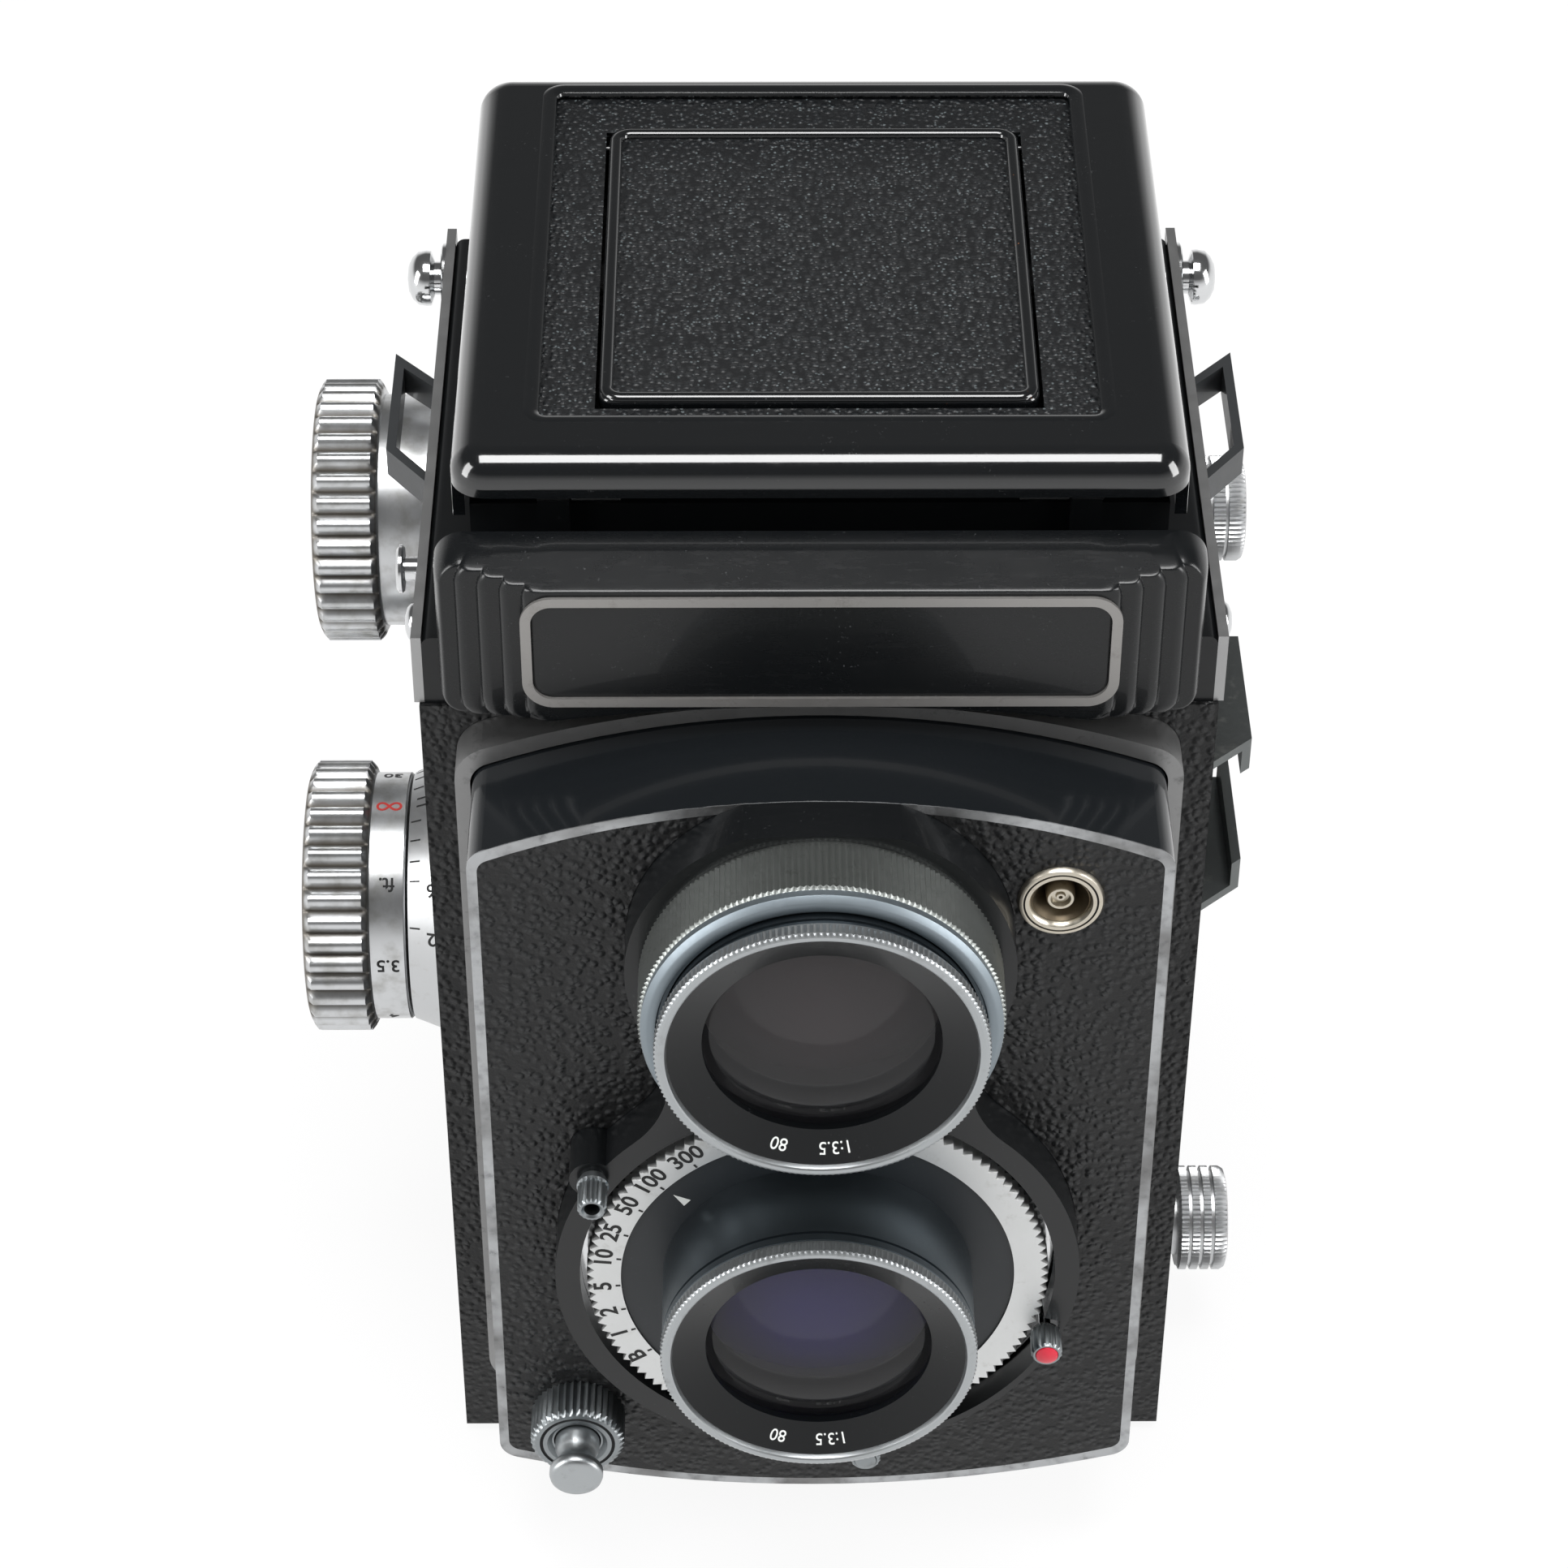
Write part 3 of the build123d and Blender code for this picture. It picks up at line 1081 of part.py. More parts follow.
def magnifier_frame():
    """Arm with a round eye that holds the focusing lens."""
    z = (MAGNIFIER_Z - MAGNIFIER_THICK / 2, MAGNIFIER_Z + MAGNIFIER_THICK / 2)
    reach = MAGNIFIER_Y + MAGNIFIER_REACH
    centre = reach - MAGNIFIER_HALF_WIDTH + 1.0
    arm = block((-MAGNIFIER_HALF_WIDTH, MAGNIFIER_HALF_WIDTH), deep(MAGNIFIER_Y, centre), z)
    arm -= rod_z(MAGNIFIER_LENS + 1.6, 0, FRONT + centre, (z[0] - 1, z[1] + 1))
    arm += block((-MAGNIFIER_BAR, MAGNIFIER_BAR), deep(MAGNIFIER_Y, MAGNIFIER_Y + 3.0), z)
    arm += rod_z(MAGNIFIER_HALF_WIDTH - 1.0, 0, FRONT + centre, z)
    bar_x = (-MAGNIFIER_BAR, MAGNIFIER_BAR)
    arm += rod_x(MAGNIFIER_THICK / 2, bar_x, FRONT + MAGNIFIER_Y, MAGNIFIER_Z)
    arm -= rod_x(PIN / 2 + RUNNING, (-30, 30), FRONT + MAGNIFIER_Y, MAGNIFIER_Z)
    return arm - rod_z(MAGNIFIER_LENS, 0, FRONT + centre, (z[0] - 1, z[1] + 1))


def magnifier_lens():
    centre = MAGNIFIER_Y + MAGNIFIER_REACH - MAGNIFIER_HALF_WIDTH + 1.0
    return rod_z(MAGNIFIER_LENS, 0, FRONT + centre, (MAGNIFIER_Z - 0.7, MAGNIFIER_Z + 0.7))


def magnifier_pin():
    reach = MAGNIFIER_BAR + 2.3
    return rod_x(PIN / 2, (-reach, reach), FRONT + MAGNIFIER_Y, MAGNIFIER_Z)


# Back

def back_door():
    """Hinged back with an inner lip that traps light, a window, and knuckles on top."""
    y = deep(SHELL_REAR + BACK_GAP, SHELL_REAR + BACK_GAP + BACK_THICK)
    half = SHELL_HALF - 0.1
    door = block((-half, half), y, (FOOT_HEIGHT, BACK_TOP))
    lip_x = INNER_HALF - FREE_GAP
    lip_y = deep(SHELL_REAR - BACK_LIP, SHELL_REAR + BACK_GAP)
    low = FLOOR_TOP + 0.8
    high = BACK_TOP - 3.0
    lip = block((-lip_x, lip_x), lip_y, (low, high))
    wall = BACK_LIP_WALL
    lip -= block((-lip_x + wall, lip_x - wall), deep(0, SHELL_REAR + BACK_GAP), (low + wall, high - wall))
    door += lip - rod_z(LATCH_ROD + SLIDE_GAP, 0, FRONT + LATCH_Y, (FLOOR_TOP, FLOOR_TOP + 3))
    for sign in (-1, 1):
        knuckle_x = side(sign, BODY_KNUCKLE_FAR + SLIDE_GAP, BACK_PIN_REACH)
        knuckle = rod_x(BACK_KNUCKLE, knuckle_x, FRONT + BACK_HINGE_Y, BACK_HINGE_Z)
        strap = block(knuckle_x, (y[0], FRONT + BACK_HINGE_Y + BACK_KNUCKLE), (BACK_TOP - 2.0, BACK_HINGE_Z))
        joined = knuckle + strap
        bore_x = side(sign, BODY_KNUCKLE_FAR - 1, BACK_PIN_REACH + 1)
        door += joined - rod_x(PIN + RUNNING, bore_x, FRONT + BACK_HINGE_Y, BACK_HINGE_Z)
    door -= rod_y(WINDOW_RADIUS, 0, deep(SHELL_REAR - 3, BODY_DEPTH + 1), WINDOW_Z)
    half_slot = LATCH_NECK + SLIDE_GAP
    slot_z = (LATCH_Z - LATCH_TRAVEL - half_slot, LATCH_Z + half_slot)
    return door - block((-half_slot, half_slot), deep(SHELL_REAR - 1, BODY_DEPTH + 1), slot_z)


def back_hinge_pin():
    return rod_x(PIN, (-BACK_PIN_REACH, BACK_PIN_REACH), FRONT + BACK_HINGE_Y, BACK_HINGE_Z)


def back_leather():
    y = deep(SHELL_REAR + BACK_GAP + BACK_THICK, BODY_DEPTH + BACK_GAP)
    half = SHELL_HALF - 0.1
    skin = block((-half, half), y, (FOOT_HEIGHT, BACK_TOP - 2.2))
    skin -= rod_y(WINDOW_RADIUS, 0, deep(60, 80), WINDOW_Z)
    return skin - block((-2.2, 2.2), deep(60, 80), (LATCH_Z - LATCH_TRAVEL - 2.2, LATCH_Z + 2.2))


def pressure_plate():
    y = deep(FILM_Y + PRESSURE_GAP, FILM_Y + PRESSURE_GAP + PRESSURE_PLATE)
    plate = block((-PRESSURE_HALF_WIDTH, PRESSURE_HALF_WIDTH), y, (PRESSURE_LOW, PRESSURE_HIGH))
    plate -= rod_y(WINDOW_RADIUS + 1, 0, deep(FILM_Y - 1, FILM_Y + 3), WINDOW_Z)
    for sign in (-1, 1):
        post_y = deep(FILM_Y + PRESSURE_GAP, SHELL_REAR - 0.5 - PRESSURE_TRAVEL)
        plate += rod_y(PRESSURE_POST, 0, post_y, TAKING_Z + sign * PRESSURE_POST_PITCH)
    return plate


def pressure_sockets():
    """Two cups on the back that guide the posts of the pressure plate."""
    cups = []
    for sign in (-1, 1):
        y = deep(SHELL_REAR - 3.2, SHELL_REAR + BACK_GAP)
        z = TAKING_Z + sign * PRESSURE_POST_PITCH
        cups.append(ring_y(PRESSURE_POST + 1.2, PRESSURE_POST + RUNNING, 0, y, z))
    return group(cups)


def window_glass():
    """Red disc in the back, through which the film numbers are read."""
    return rod_y(WINDOW_RADIUS, 0, deep(SHELL_REAR + 0.1, SHELL_REAR + 1.2), WINDOW_Z)


def window_guides():
    """Two folded rails on the back that hold the sliding window cover."""
    start = BODY_DEPTH + BACK_GAP
    rails = []
    for sign in (-1, 1):
        inner = WINDOW_Z + sign * (COVER_HALF + 0.15)
        outer = WINDOW_Z + sign * (COVER_HALF + 1.4)
        lip = WINDOW_Z + sign * (COVER_HALF - 0.9)
        x = (-COVER_HALF - 1, COVER_HALF + COVER_TRAVEL + 1)
        rail = block(x, deep(start, start + COVER_THICK + 0.7), sorted((inner, outer)))
        turned_y = deep(start + COVER_THICK + 0.2, start + COVER_THICK + 0.7)
        rails.append(rail + block(x, turned_y, sorted((lip, outer))))
    return group(rails)


def window_cover():
    start = BODY_DEPTH + BACK_GAP
    y = deep(start + 0.1, start + 0.1 + COVER_THICK)
    plate = block((-COVER_HALF, COVER_HALF), y, (WINDOW_Z - COVER_HALF, WINDOW_Z + COVER_HALF))
    return plate + rod_y(1.8, -3.0, deep(start + 0.5, start + 2.4), WINDOW_Z)


def back_latch():
    """Bolt inside the back with a thumb piece outside; it drops into the body floor."""
    tip = FLOOR_TOP + FREE_GAP
    bolt = rod_z(LATCH_ROD, 0, FRONT + LATCH_Y, (tip, LATCH_Z + 2.5))
    neck_z = (LATCH_Z - LATCH_NECK, LATCH_Z + LATCH_NECK)
    neck = block((-LATCH_NECK, LATCH_NECK), deep(LATCH_Y, BODY_DEPTH + 0.6), neck_z)
    thumb_z = (LATCH_Z - 2.5, LATCH_Z + 2.5)
    thumb = block((-LATCH_THUMB, LATCH_THUMB), deep(BODY_DEPTH + 0.2, BODY_DEPTH + 1.6), thumb_z)
    return bolt + neck + thumb


# Outside fittings

def strap_rail(sign):
    """Rail along the top edge of one side, with its strap loop folded outwards."""
    z = (BODY_HEIGHT - RAIL_HEIGHT, BODY_HEIGHT)
    near = SHELL_HALF
    far = SHELL_HALF + RAIL_THICK
    rail = block(side(sign, near, far), deep(0, BODY_DEPTH), z)
    out = far + LOOP_REACH
    inner = out - LOOP_STRIP
    spine = far - RAIL_THICK / 2
    outer_path = [(spine, LOOP_FRONT), (out, LOOP_OUT_FRONT), (out, LOOP_OUT_REAR), (spine, LOOP_REAR)]
    inner_path = [
        (spine, LOOP_REAR - 1.4), (inner, LOOP_OUT_REAR - 2.6), (inner, LOOP_OUT_FRONT + 0.4),
        (spine, LOOP_FRONT + 1.6)]
    outline = [(sign * x, FRONT + y) for x, y in outer_path + inner_path]
    return rail + plate_z(outline, (LOOP_Z, LOOP_Z + LOOP_HEIGHT))


def strap_stud(sign):
    """Rear stud: neck and rounded head."""
    face = SHELL_HALF + RAIL_THICK + WASHER_THICK
    neck = rod_x(STUD_NECK, side(sign, face, face + 1.0), FRONT + STUD_Y, STUD_Z)
    head = rod_x(STUD_RADIUS, side(sign, face + 1.0, face + 1.0 + STUD_REACH), FRONT + STUD_Y, STUD_Z)
    return neck + fillet(head.edges().filter_by(GeomType.CIRCLE), 0.6)


def stud_washer(sign):
    face = SHELL_HALF + RAIL_THICK
    return rod_x(WASHER_RADIUS, side(sign, face, face + WASHER_THICK), FRONT + STUD_Y, STUD_Z)


def rail_screws():
    """Round-headed screws, one near the front of each rail, and the stop stud on the left."""
    face = SHELL_HALF + RAIL_THICK
    y = FRONT + RAIL_SCREW_Y
    pieces = []
    for sign in (-1, 1):
        head = rod_x(RAIL_SCREW_RADIUS, side(sign, face, face + 1.1), y, STUD_Z)
        pieces.append(head)
    stalk = rod_x(1.2, (-face - 1.6, -face), y + 8.5, STUD_Z)
    pieces.append(stalk + rod_x(2.4, (-face - 2.4, -face - 1.6), y + 8.5, STUD_Z))
    return group(pieces)


def accessory_shoe():
    """Channel open to the front, its two lips turned towards each other."""
    near = SHELL_HALF
    slope = [
        (FRONT + SHOE_FRONT, 0), (FRONT + SHOE_LIP_FRONT, 1), (FRONT + SHOE_REAR, 1), (FRONT + SHOE_REAR, 0)]
    outline = [(near if end == 0 else SHOE_OUTER_X, y) for y, end in slope]
    shoe = plate_z(outline, (SHOE_LOW, SHOE_HIGH))
    floor_x = HALF_WIDTH + SHOE_SHEET
    lip_x = SHOE_OUTER_X - SHOE_SHEET
    through = deep(SHOE_FRONT - 5, SHOE_REAR + 5)
    shoe -= block((floor_x, lip_x), through, (SHOE_LOW + SHOE_SHEET, SHOE_HIGH - SHOE_SHEET))
    lip_z = SHOE_SHEET + SHOE_LIP
    return shoe - block((floor_x, SHOE_OUTER_X + 1), through, (SHOE_LOW + lip_z, SHOE_HIGH - lip_z))


def main():
    os.makedirs("parts", exist_ok=True)
    save(body_shell(), "body_shell")
    save(group([side_leather(-1), side_leather(1), front_leather()]), "body_leather")
    save(lens_collar(), "lens_collar")
    save(group([base_plate(), feet()]), "base_plate")
    save(tripod_bush(), "tripod_bush")
    save(group([front_bulkhead(), mirror_frame()]), "inner_walls")
    save(dark_chamber() + film_gate(), "dark_chamber")
    save(guide_roller(), "guide_roller")
    save(mirror(), "mirror")
    save(ground_glass(), "ground_glass")
    save(group([lens_board(), focus_follower()]), "lens_board")
    save(board_leather(), "board_leather")
    save(shutter_housing(), "shutter_housing")
    save(shutter_face(), "shutter_face")
    save(speed_ring(), "speed_ring")
    save(cocking_lever(), "cocking_lever")
    save(aperture_lever() - cocking_clearance(), "aperture_lever")
    save(group([shutter_case(), blade_pins()]), "shutter_case")
    for index in range(3):
        save(shutter_blade(index), "shutter_blade_" + str(index + 1))
    taking = lens_head(TAKING_Z, -BOARD_FRONT + BOARD_PLATE, BARREL_RADIUS)
    viewing = lens_head(VIEWING_Z, VIEW_BARREL_BACK, BARREL_RADIUS - BARREL_STEP)
    for index, node in enumerate(("lens_barrels", "lens_rims", "lens_name_rings")):
        save(group([taking[index], viewing[index]]), node)
    save(group([taking[3], rear_glass()]), "taking_glass")
    save(viewing[3], "viewing_glass")
    save(viewing_ring(), "viewing_ring")
    save(release_button(), "release_button")
    save(group([flash_socket(), flash_contact(), release_collar(), cable_socket()]), "board_fittings")
    save(nameplate_housing(), "nameplate_housing")
    save(nameplate_frame(), "nameplate_frame")
    save(focus_knob(), "focus_knob")
    save(focus_shaft(), "focus_shaft")
    save(focus_scale(), "focus_scale")
    save(group([winding_knob(), winding_shaft()]), "winding_knob")
    save(spool(WIND_Y, WIND_Z), "take_up_spool")
    save(spool(FEED_Y, FEED_Z), "feed_spool")
    save(pull_knob(PULL_UPPER_RADIUS, WIND_Y, WIND_Z), "upper_pull_knob")
    save(pull_knob(PULL_LOWER_RADIUS, FEED_Y, FEED_Z), "lower_pull_knob")
    save(group([knob_bushes(), feed_pin()]), "spool_fittings")
    save(hood_base(), "hood_base")
    save(group([lid_hinge_pin(), leaf_pins(), rear_leaf_pin()]), "hood_pins")
    save(hood_lid(), "hood_lid")
    save(lid_leather(), "lid_leather")
    save(finder_flap(), "finder_flap")
    save(flap_leather(), "flap_leather")
    save(side_leaf(-1, LEFT_LEAF_Z), "left_leaf")
    save(side_leaf(1, LEFT_LEAF_Z + LEAF_STEP), "right_leaf")
    save(rear_leaf(), "rear_leaf")
    save(group([magnifier_frame(), magnifier_pin()]), "magnifier_frame")
    save(magnifier_lens(), "magnifier_lens")
    save(back_door(), "back_door")
    save(back_leather(), "back_leather")
    save(pressure_plate(), "pressure_plate")
    save(window_cover(), "window_cover")
    save(back_latch(), "back_latch")
    save(group([window_guides(), back_hinge_pin(), pressure_sockets(), window_glass()]), "back_fittings")
    save(mirrored_pair(strap_rail), "strap_rails")
    save(group([strap_stud(-1), strap_stud(1), stud_washer(-1), stud_washer(1), rail_screws()]), "rail_studs")
    save(accessory_shoe(), "accessory_shoe")


main()
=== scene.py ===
from math import cos, pi, radians, sin

import bmesh
import bpy
import numpy as np
from mathutils import Matrix, Vector


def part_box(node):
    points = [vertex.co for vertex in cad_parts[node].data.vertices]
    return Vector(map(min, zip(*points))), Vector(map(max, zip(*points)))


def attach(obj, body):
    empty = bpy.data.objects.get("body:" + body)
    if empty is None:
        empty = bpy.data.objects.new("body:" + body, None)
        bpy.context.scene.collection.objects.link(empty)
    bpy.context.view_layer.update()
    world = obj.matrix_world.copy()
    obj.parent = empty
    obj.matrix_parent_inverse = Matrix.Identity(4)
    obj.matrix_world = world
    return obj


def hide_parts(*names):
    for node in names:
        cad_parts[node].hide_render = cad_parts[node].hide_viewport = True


# Looks of a twin lens reflex camera. Sizes here are in millimetres and become metres
# when a mesh is made. "Stand" is a distance in front of the body's front face.

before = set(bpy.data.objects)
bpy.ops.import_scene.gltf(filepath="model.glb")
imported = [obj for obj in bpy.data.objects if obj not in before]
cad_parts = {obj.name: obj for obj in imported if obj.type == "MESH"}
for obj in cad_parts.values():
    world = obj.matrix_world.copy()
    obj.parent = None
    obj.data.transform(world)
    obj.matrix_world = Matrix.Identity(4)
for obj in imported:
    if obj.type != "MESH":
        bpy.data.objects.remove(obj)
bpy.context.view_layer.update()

MM = 0.001
TAU = 2 * pi


def span(node):
    """Lowest and highest corner of a CAD node, in millimetres."""
    low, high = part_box(node)
    return np.array(low) / MM, np.array(high) / MM


FACE = span("lens_collar")[1][1]
BODY_TOP = span("ground_glass")[1][2]
RING_LOW, RING_HIGH = span("speed_ring")
TAKING = (0.0, (RING_LOW[2] + RING_HIGH[2]) / 2)
VIEW_LOW, VIEW_HIGH = span("viewing_ring")
VIEWING = (0.0, (VIEW_LOW[2] + VIEW_HIGH[2]) / 2)
HEAD_STAND = FACE - span("lens_rims")[0][1]
BOARD_STAND = FACE - span("lens_board")[0][1]
HOUSING_STAND = FACE - VIEW_HIGH[1]
PROUD = 0.03


# Shader nodes

class Field:
    """One varying number in a finish. Arithmetic on it adds the maths nodes that work it out."""

    def __init__(self, finish, socket):
        self.finish = finish
        self.socket = socket

    def maths(self, kind, *numbers):
        inputs = {index: number for index, number in enumerate(numbers)}
        node = self.finish.add("Math", {"operation": kind}, inputs)
        return Field(self.finish, node.outputs[0])

    def __add__(self, other):
        return self.maths("ADD", self, other)

    def __radd__(self, other):
        return self.maths("ADD", other, self)

    def __sub__(self, other):
        return self.maths("SUBTRACT", self, other)

    def __rsub__(self, other):
        return self.maths("SUBTRACT", other, self)

    def __mul__(self, other):
        return self.maths("MULTIPLY", self, other)

    def __rmul__(self, other):
        return self.maths("MULTIPLY", other, self)

    def least(self, other):
        return self.maths("MINIMUM", self, other)

    def most(self, other):
        return self.maths("MAXIMUM", self, other)

    def between(self, low, high):
        """0 below low, 1 above high, and a smooth rise between them."""
        inputs = {"Value": self, "From Min": low, "From Max": high}
        node = self.finish.add("MapRange", {"interpolation_type": "SMOOTHSTEP"}, inputs)
        return Field(self.finish, node.outputs["Result"])


class Finish:
    """A material whose patterns are laid out in the object's own coordinates."""

    def __init__(self, name, **constants):
        self.material = bpy.data.materials.new(name)
        self.material.use_nodes = True
        self.nodes = self.material.node_tree.nodes
        self.links = self.material.node_tree.links
        self.shader = self.nodes["Principled BSDF"]
        for key, value in constants.items():
            self.shader.inputs[key.replace("_", " ")].default_value = value
        self.place = self.add("TexCoord").outputs["Object"]

    def add(self, kind, settings=None, inputs=None):
        """A node of one kind, its settings first, then the values or links of its sockets."""
        node = self.nodes.new("ShaderNode" + kind)
        for key, value in (settings or {}).items():
            setattr(node, key, value)
        for key, value in (inputs or {}).items():
            self.join(value, node.inputs[key])
        return node

    def join(self, value, socket):
        if isinstance(value, Field):
            self.links.new(value.socket, socket)
        elif isinstance(value, bpy.types.NodeSocket):
            self.links.new(value, socket)
        else:
            socket.default_value = value

    def feed(self, **sockets):
        """Links varying values to the surface shader."""
        for key, value in sockets.items():
            self.join(value, self.shader.inputs[key.replace("_", " ")])

    def noise(self, size, detail=3.0, roughness=0.55, stretch=None):
        """Cloudy pattern from 0 to 1, whose blotches are about that size in millimetres."""
        place = self.place if stretch is None else self.stretched(stretch)
        inputs = {"Vector": place, "Scale": 1 / (size * MM), "Detail": detail, "Roughness": roughness}
        return Field(self, self.add("TexNoise", None, inputs).outputs["Fac"])

    def cells(self, size, smoothness=0.35, wander=0.0):
        """Distance from the middle of irregular cells, about that size in millimetres."""
        place = self.place
        if wander:
            inputs = {"Vector": place, "Scale": 0.7 / (size * MM)}
            warp = self.add("TexNoise", None, inputs).outputs["Color"]
            scaled = self.add("VectorMath", {"operation": "SCALE"}, {0: warp, "Scale": wander * MM})
            moved = self.add("VectorMath", {"operation": "ADD"}, {0: place, 1: scaled.outputs[0]})
            place = moved.outputs[0]
        settings = {"feature": "SMOOTH_F1"}
        inputs = {"Vector": place, "Scale": 1 / (size * MM), "Smoothness": smoothness}
        return Field(self, self.add("TexVoronoi", settings, inputs).outputs["Distance"])

    def stretched(self, factors):
        """The coordinates, each axis multiplied by its own factor."""
        return self.add("VectorMath", {"operation": "MULTIPLY"}, {0: self.place, 1: factors}).outputs[0]

    def axis(self, letter):
        """Place along X, Y or Z, in millimetres."""
        split = self.add("SeparateXYZ", None, {0: self.place})
        return Field(self, split.outputs[letter]) * (1 / MM)

    def mix(self, first, second, share):
        """A colour that goes from first to second as share goes from 0 to 1."""
        node = self.add("Mix", {"data_type": "RGBA"}, {0: share, 6: first, 7: second})
        return node.outputs[2]

    def bump(self, height, strength, deep):
        """Normal from a height field, deep in millimetres."""
        inputs = {"Height": height, "Strength": strength, "Distance": deep * MM}
        self.feed(Normal=self.add("Bump", None, inputs).outputs["Normal"])


def tone(red, green, blue):
    return (red, green, blue, 1.0)


# Finishes

def enamel(name, colour=(0.003, 0.0035, 0.004), gloss=0.12, dust=0.25, chips=0.0, coat=0.35, sheen=0.3):
    """Black stoved enamel: a clear top coat, faint orange peel, fine dust, and chips where asked."""
    finish = Finish(name, Coat_Weight=coat, Coat_Roughness=0.04, IOR=1.5, Specular_IOR_Level=sheen)
    cloud = finish.noise(9.0, 4.0)
    specks = finish.noise(0.35, 2.0).between(0.66, 0.74) * finish.noise(6.0).between(0.45, 0.7)
    colour_now = finish.mix(tone(*colour), tone(0.05, 0.053, 0.056), specks * dust)
    if chips:
        spots = finish.noise(2.6, 5.0, 0.7).between(0.705, 0.72) * chips
        colour_now = finish.mix(colour_now, tone(0.19, 0.07, 0.03), spots)
    rub = finish.noise(3.0, 5.0, 0.7, stretch=(1.0, 5.0, 5.0)).between(0.5, 0.85)
    finish.feed(Base_Color=colour_now, Roughness=gloss + 0.1 * cloud + 0.12 * rub + 0.25 * specks)
    finish.bump(finish.noise(1.4, 2.0), 0.05, 0.05)
    return finish.material


def grained(name, grain, relief, body, crest_highlight, worn=0.0, sheen=0.42):
    """Leatherette: pebbles with a painted highlight on their tops and painted shade in the creases between
    them, and pale wear on the pebble tops where asked.
    """
    finish = Finish(name, IOR=1.45, Specular_IOR_Level=sheen)
    distance = finish.cells(grain, 0.3, wander=grain * 0.45)
    pebble = 1.0 - distance.between(0.05, 0.7)
    fine = finish.noise(grain * 0.35, 3.0)
    patch = finish.noise(14.0, 4.0)
    height = pebble * 0.85 + fine * 0.2
    # Pebble tops mixed towards the lighter colour: painted highlight on the tops, painted shade in the
    # creases.
    colour_now = finish.mix(tone(*body), tone(*crest_highlight), pebble * (0.2 + 0.8 * fine))
    if worn:
        small = finish.cells(grain * 0.8, 0.1, wander=grain * 0.5)
        flecks = (1.0 - small.between(0.16, 0.3)) * finish.noise(grain * 1.7, 2.0).between(0.46, 0.58)
        colour_now = finish.mix(colour_now, tone(0.085, 0.1, 0.105), flecks * worn)
    finish.feed(Base_Color=colour_now, Roughness=0.34 + 0.16 * fine + 0.1 * patch - 0.06 * pebble)
    finish.bump(height, 1.0, relief)
    return finish.material


def metal(name, colour, gloss=0.28, stain=(0.3, 0.28, 0.24), soil=0.25, brushed=None, grain=0.12):
    """Bare or plated metal with cloudy tarnish, fine scratches and soil in patches."""
    finish = Finish(name, Metallic=1.0)
    cloud = finish.noise(5.0, 5.0, 0.65)
    patch = finish.noise(2.2, 4.0, 0.7).between(0.55, 0.78)
    scratch = finish.noise(0.6, 4.0, 0.6, stretch=brushed or (1.0, 1.0, 1.0))
    colour_now = finish.mix(tone(*colour), tone(*stain), patch * soil + cloud * 0.12)
    finish.feed(Base_Color=colour_now, Roughness=gloss + grain * scratch + 0.14 * patch * soil)
    finish.bump(scratch, 0.12, 0.03)
    return finish.material


def matt(name, colour, rough=0.6, speck=0.35):
    """Dull black paint with fine dust."""
    finish = Finish(name, Specular_IOR_Level=0.4)
    dust = finish.noise(0.4, 3.0).between(0.6, 0.75)
    cloud = finish.noise(4.0, 4.0)
    pale = tuple(min(1.0, value * 2.2 + 0.012) for value in colour)
    finish.feed(Base_Color=finish.mix(tone(*colour), tone(*pale), dust * speck),
            Roughness=rough + 0.15 * cloud)
    finish.bump(finish.noise(0.7, 3.0), 0.12, 0.03)
    return finish.material


def edged_enamel():
    """Lens board: glossy black walls, and a bare metal line round the front where paint has rubbed off."""
    finish = Finish("board_enamel", Coat_Weight=0.25, Coat_Roughness=0.05, Specular_IOR_Level=0.35)
    front = FACE - BOARD_STAND
    wander = finish.noise(1.6, 4.0) * 0.3
    bare = 1.0 - (finish.axis("Y") + wander).between(front + 0.12, front + 0.3)
    tarnish = finish.noise(8.0, 3.0)
    silver = finish.mix(tone(0.42, 0.43, 0.44), tone(0.2, 0.2, 0.2), tarnish.between(0.4, 0.7))
    finish.feed(Base_Color=finish.mix(tone(0.006, 0.007, 0.008), silver, bare))
    finish.feed(Metallic=bare, Roughness=0.12 + 0.2 * bare + 0.1 * finish.noise(6.0))
    finish.bump(finish.noise(1.4, 2.0), 0.05, 0.05)
    return finish.material


def rail_enamel():
    """Strap rails: dark satin paint, turning to lighter grey metal along the top and on the front ends."""
    finish = Finish("rail_enamel", Coat_Weight=0.25)
    wander = finish.noise(2.0, 4.0) * 1.2
    upper = (finish.axis("Z") + wander).between(BODY_TOP - 0.1, BODY_TOP + 0.5)
    ends = 1.0 - (finish.axis("Y") + wander).between(FACE + 1.4, FACE + 2.0)
    # Lighter grey metal along the top edge and on the front ends of the rails.
    bare = upper.most(ends) * 0.85
    finish.feed(Base_Color=finish.mix(tone(0.03, 0.032, 0.034), tone(0.4, 0.4, 0.4), bare))
    finish.feed(Metallic=0.35 + 0.65 * bare, Roughness=0.3 + 0.2 * finish.noise(3.0))
    finish.bump(finish.noise(1.0, 3.0), 0.08, 0.03)
    return finish.material


def clear_glass(name, colour, rough=0.0, index=1.5):
    """Polished glass with a faint film of dust."""
    finish = Finish(name, Transmission_Weight=1.0, IOR=index)
    dust = finish.noise(2.5, 2.0).between(0.55, 0.8)
    finish.feed(Base_Color=finish.mix(tone(*colour), tone(0.8, 0.8, 0.8), dust * 0.1))
    finish.feed(Roughness=rough + dust * 0.02)
    return finish.material


def lens_front():
    """Outer lens: mostly see-through, so that the coated lens behind it is lit, with a clear gloss."""
    finish = Finish("lens_front_glass", Coat_Weight=1.0, Coat_Roughness=0.01, Alpha=0.22)
    finish.shader.inputs["Base Color"].default_value = tone(0.01, 0.01, 0.012)
    finish.feed(Roughness=0.02 + 0.03 * finish.noise(4.0))
    return finish.material


